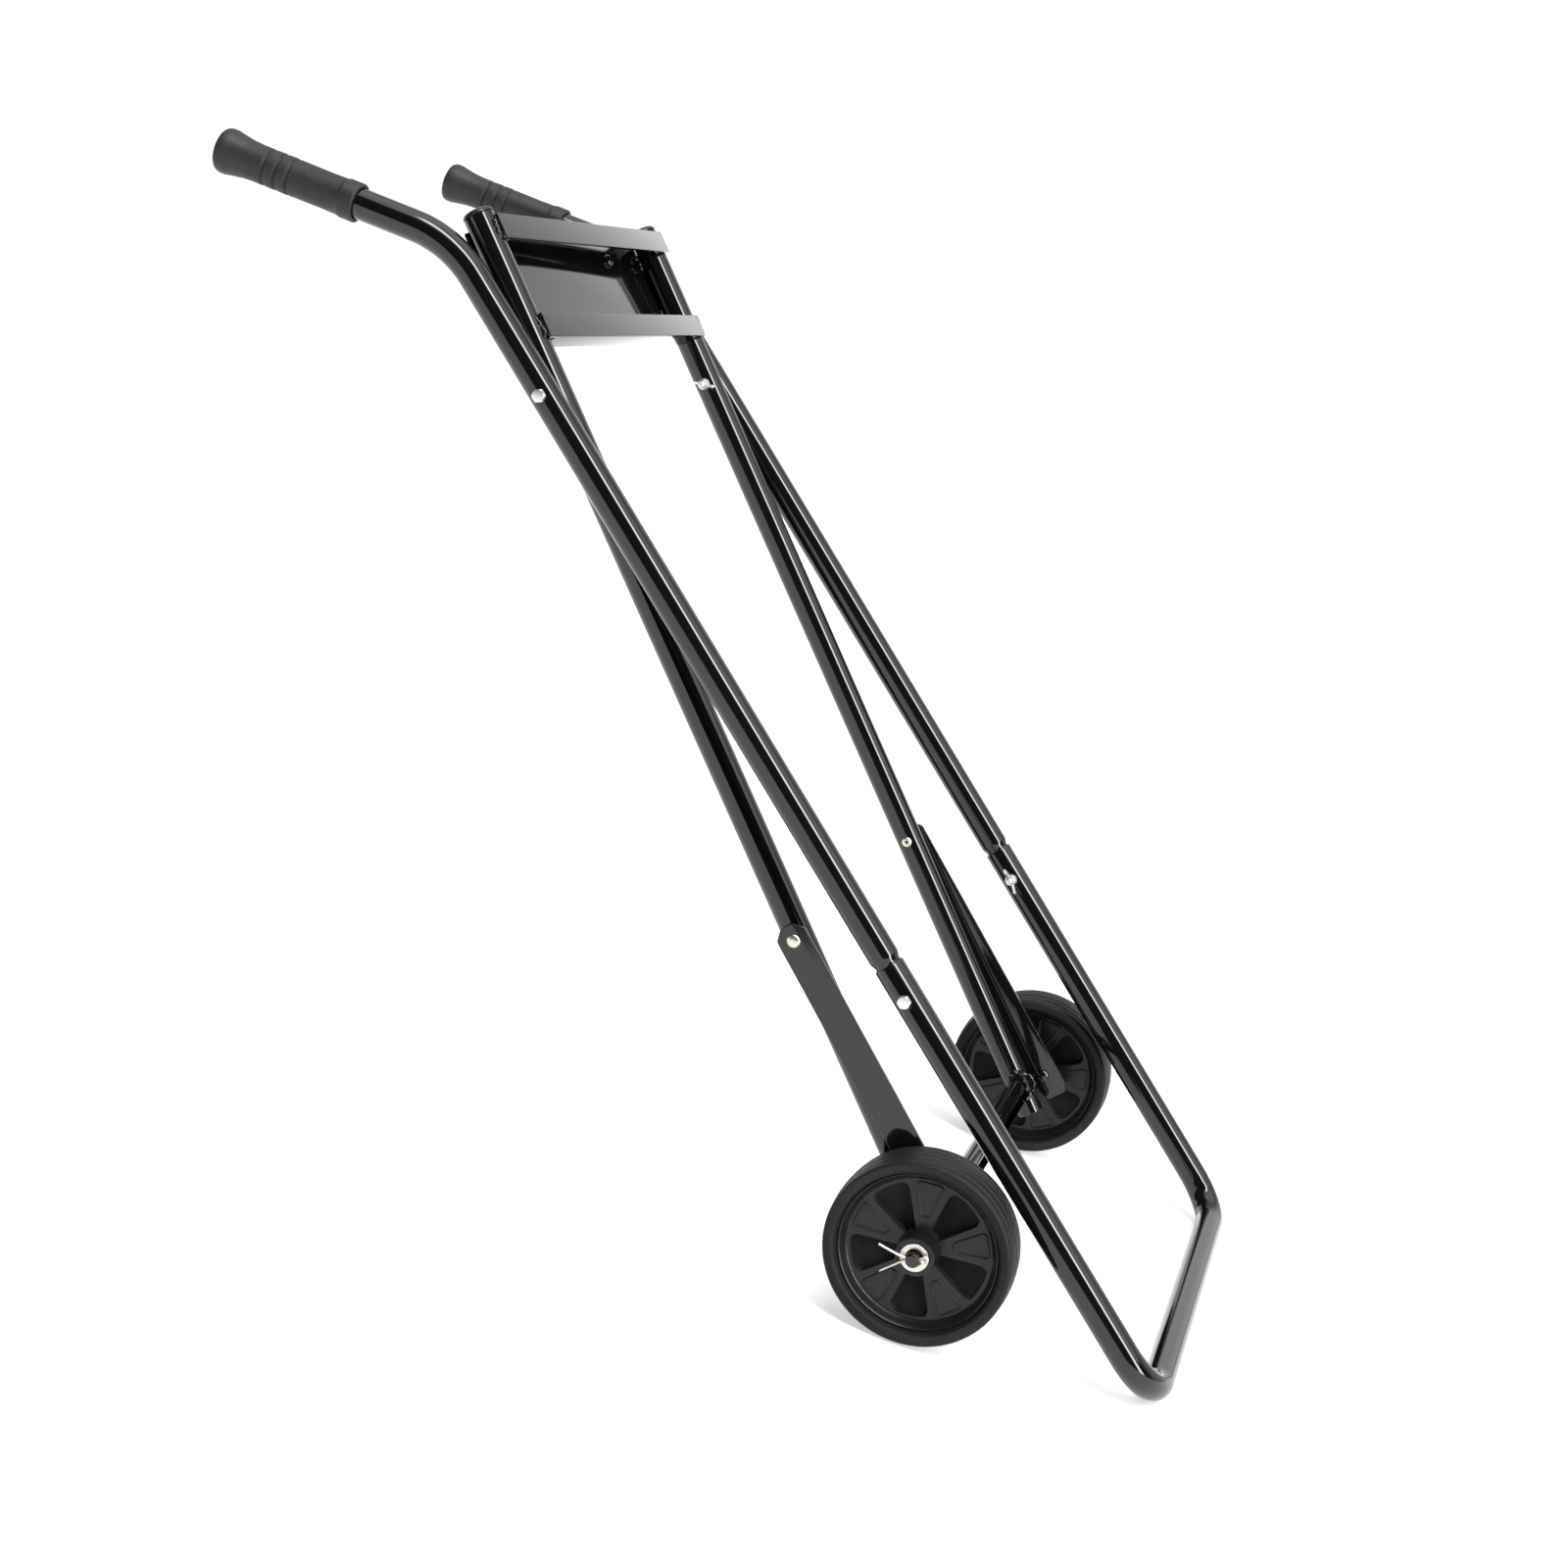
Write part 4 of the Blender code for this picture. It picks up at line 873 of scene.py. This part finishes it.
for word, side in SIDES:
    stand = (AXLE, np.array([ACROSS * side, (0, 1, 0), (0, 0, 1.0)]))
    flat = turned(stand, soften(np.array(WASHER) + (0, WASHER_IN), 0.35, 4), 72, wrap=True)
    piece(word + "_washer", [flat], "nickel", "motor_frame", word + "_hub_washer")
    bends = [(PIN_X, y, z) for y, z in LEG]
    path, ahead = route(bends, [6.0, 4.0] + [1.2] * 7 + [4.0, 6.0], 10)
    back = np.array([0, math.cos(PIN_TURN), -math.sin(PIN_TURN)])
    stand = (AXLE, np.array([ACROSS * side, back, np.cross(ACROSS, back)]))
    wire = swept(stand, path, ahead, np.full(len(path), PIN_R), (1, 0, 0), 16)
    piece(word + "_cotter", [wire], "zinc", "motor_frame", word + "_split_pin", crease=50)

# %% [markdown]
# ## Bolts and wing nuts
# A hexagon is a circle whose radius grows towards six corners; the smaller of that and a cone
# gives the turned chamfer on a real bolt head.  The thread is a helix: radius swings with angle
# plus height.  Wing nuts are a turned boss with two curved, rounded wings.

# %% Bolts and wing nuts
BOLT_R = 3.0
NUT_H = 7.0


def hex_bolt(bench, length):
    """Head below zero, shank above; near its end the shank carries the thread."""
    t = circle(96)
    corner = 5.0 / np.cos((t + math.pi / 6) % (math.pi / 3) - math.pi / 6)
    height = np.array([-4.0, -4.0, -3.85, -3.4, -2.8, -0.6, -0.3, 0.0])
    cone = np.array([0.4, 4.5, 4.9, 5.35, 6.2, 6.2, 5.6, 5.0])
    radius = np.minimum(cone[:, None], corner[None, :])
    rise = np.broadcast_to(height[:, None], radius.shape)
    head = surface(world(bench, np.stack([rise, radius * np.cos(t), radius * np.sin(t)], -1)))
    x = np.r_[-1.0, np.linspace(length - 16, length - 0.9, 90), length, length]
    t = circle(28)
    wave = np.abs(((x[:, None] + t[None, :] / (2 * math.pi)) % 1.0) - 0.5) * 2
    radius = BOLT_R - 0.42 * wave * (x[:, None] > length - 15)
    radius[-2] = BOLT_R - 0.9
    radius[-1] = 0.4
    grid = np.stack([np.broadcast_to(x[:, None], radius.shape), radius * np.cos(t), radius * np.sin(t)], -1)
    return [head, surface(world(bench, grid))]


def wing_nut(bench):
    """Boss with a conical top, and two wings whose outline sweeps up and out."""
    boss_profile = [(3.3, 0.0), (5.5, 0.0), (5.5, 2.2), (4.3, NUT_H), (3.3, NUT_H)]
    boss = turned(bench, soften(boss_profile, 0.5, 5), 56, wrap=True)
    wing = np.array([(3.9, 0.9), (6.6, 1.2), (9.4, 3.2), (12.4, 7.2), (13.0, 9.4), (11.8, 11.2), (9.6, 10.9),
                     (7.2, 8.2), (5.2, 6.4), (3.9, 6.0)])
    made = [boss]
    for side in (-1, 1):
        stand = (bench[0], np.array([bench[1][2], bench[1][1] * side, bench[1][0]]))
        made.append(slab(stand, soften(wing, 1.6, 6), -1.05, 1.05, 0.85, 6))
    return made


for word, side in SIDES:
    face = side * (HANDLE_X + TUBE_R + 0.3)
    for kind, along, grip, turn in (("pivot", PIVOT_ALONG, 51.5, 42.0), ("joint", 370.0, 25.0, -84.0)):
        origin = world(CART, (face, 0, along))
        stand = (origin, np.array([ACROSS * -side, BEHIND, ALONG]))
        bolt = hex_bolt(stand, grip + 12)
        piece(f"{word}_{kind}_hex_bolt", bolt, "zinc", "handle_frame", f"{word}_{kind}_bolt")
        origin = world(CART, (face - side * (grip + 0.6), 0, along))
        a = math.radians(turn)
        second = np.array([0, math.cos(a), math.sin(a)]) @ CART[1]
        third = np.array([0, -math.sin(a), math.cos(a)]) @ CART[1]
        piece(f"{word}_{kind}_wings", wing_nut((origin, np.array([ACROSS * -side, second, third]))), "zinc",
              f"{word}_{kind}_wing_nut_body", f"{word}_{kind}_wing_nut", crease=50)

# %% [markdown]
# ## Floor, light and camera
# Gloss black shows nothing but its surroundings, so the studio is drawn for it: a white floor
# and backdrop, a dark room behind the camera, one long bright strip that draws the fine line
# down every tube, and soft boxes in front, above and to one side.  They are painted on the sky
# by direction, so the line keeps its place along the whole length of a tube.

# %% Floor
floor_mesh = bpy.data.meshes.new("floor")
t = circle(96)
floor_mesh.from_pydata(np.column_stack([9 * np.cos(t), 9 * np.sin(t), np.full_like(t, -0.0006)]).tolist(), [],
                       [list(range(96))])
floor = bpy.data.objects.new("floor", floor_mesh)
bpy.context.scene.collection.objects.link(floor)
chalk = bpy.data.materials.new("pale_floor")
chalk.use_nodes = True
chalk.node_tree.nodes["Principled BSDF"].inputs["Base Color"].default_value = (0.55, 0.55, 0.55, 1)
chalk.node_tree.nodes["Principled BSDF"].inputs["Emission Color"].default_value = (1, 1, 1, 1)
chalk.node_tree.nodes["Principled BSDF"].inputs["Emission Strength"].default_value = 0.55
chalk.node_tree.nodes["Principled BSDF"].inputs["Roughness"].default_value = 0.9
chalk.node_tree.nodes["Principled BSDF"].inputs["Specular IOR Level"].default_value = 0.1
floor_mesh.materials.append(chalk)

# %% Sky of soft boxes
sky = bpy.data.worlds.new("studio")
bpy.context.scene.world = sky
sky.use_nodes = True
tree = sky.node_tree
tree.nodes.clear()
direction = tree.nodes.new("ShaderNodeTexCoord").outputs["Generated"]
x, y, z = add(tree, "ShaderNodeSeparateXYZ", links={"Vector": direction}).outputs


def towards(vector):
    """Cosine of the angle between the looked-up direction and a fixed one."""
    v = np.array(vector, float)
    v /= np.linalg.norm(v)
    made = add(tree, "ShaderNodeVectorMath", operation="DOT_PRODUCT")
    tree.links.new(direction, made.inputs[0])
    made.inputs[1].default_value = tuple(v)
    return made.outputs["Value"]


def ramp(value, low, high, top):
    """Smooth step from nothing at low to top at high."""
    made = add(tree, "ShaderNodeMapRange", {"From Min": low, "From Max": high, "To Max": top},
               {"Value": value},
               interpolation_type="SMOOTHSTEP")
    return made.outputs[0]


BACKDROP = 0.88
ROOM = 0.008
KEY_BOX = 2.1
STRIP = 21.0
TOP_BOX = 2.0
SIDE_BOX = 1.4
backdrop = ramp(x, 0.12, 0.45, BACKDROP)
below = ramp(z, -0.06, -0.10, 0.82)
key_box = ramp(towards((-0.08, -0.71, 0.70)), 0.90, 0.95, KEY_BOX)
top_box = ramp(z, 0.78, 0.90, TOP_BOX)
side_box = ramp(towards((0.935, -0.124, 0.330)), 0.91, 0.95, SIDE_BOX)
across_strip = math_node(tree, "ABSOLUTE", towards((0.905, -0.288, 0.315)), 0.0)
strip_ends = ramp(towards((-0.411, -0.652, 0.636)), 0.45, 0.6, 1.0)
strip = math_node(tree, "MULTIPLY", ramp(across_strip, 0.135, 0.06, STRIP), strip_ends)
total = math_node(tree, "MAXIMUM", backdrop, below)
for light in (key_box, top_box, side_box, strip):
    total = math_node(tree, "MAXIMUM", total, light)
total = math_node(tree, "ADD", total, ROOM)
seen = tree.nodes.new("ShaderNodeLightPath").outputs["Is Camera Ray"]
strength = tree.nodes.new("ShaderNodeMix")
tree.links.new(seen, strength.inputs[0])
tree.links.new(total, strength.inputs[2])
strength.inputs[3].default_value = 1.06
background = add(tree, "ShaderNodeBackground", {"Color": (1.0, 1.0, 1.0, 1)},
                 {"Strength": strength.outputs[0]})
add(tree, "ShaderNodeOutputWorld", links={"Surface": background.outputs[0]})

# %% Camera
lens = bpy.data.cameras.new("camera")
lens.lens = 56.029
lens.sensor_width = 36.0
camera = bpy.data.objects.new("camera", lens)
bpy.context.scene.collection.objects.link(camera)
camera.location = (-2.0211, -0.4782, 0.8647)
camera.rotation_euler = (1.31219, -0.2553, -1.28349)
bpy.context.scene.camera = camera
bpy.context.scene.view_settings.view_transform = "Standard"
print("camera", tuple(round(v, 3) for v in camera.location))
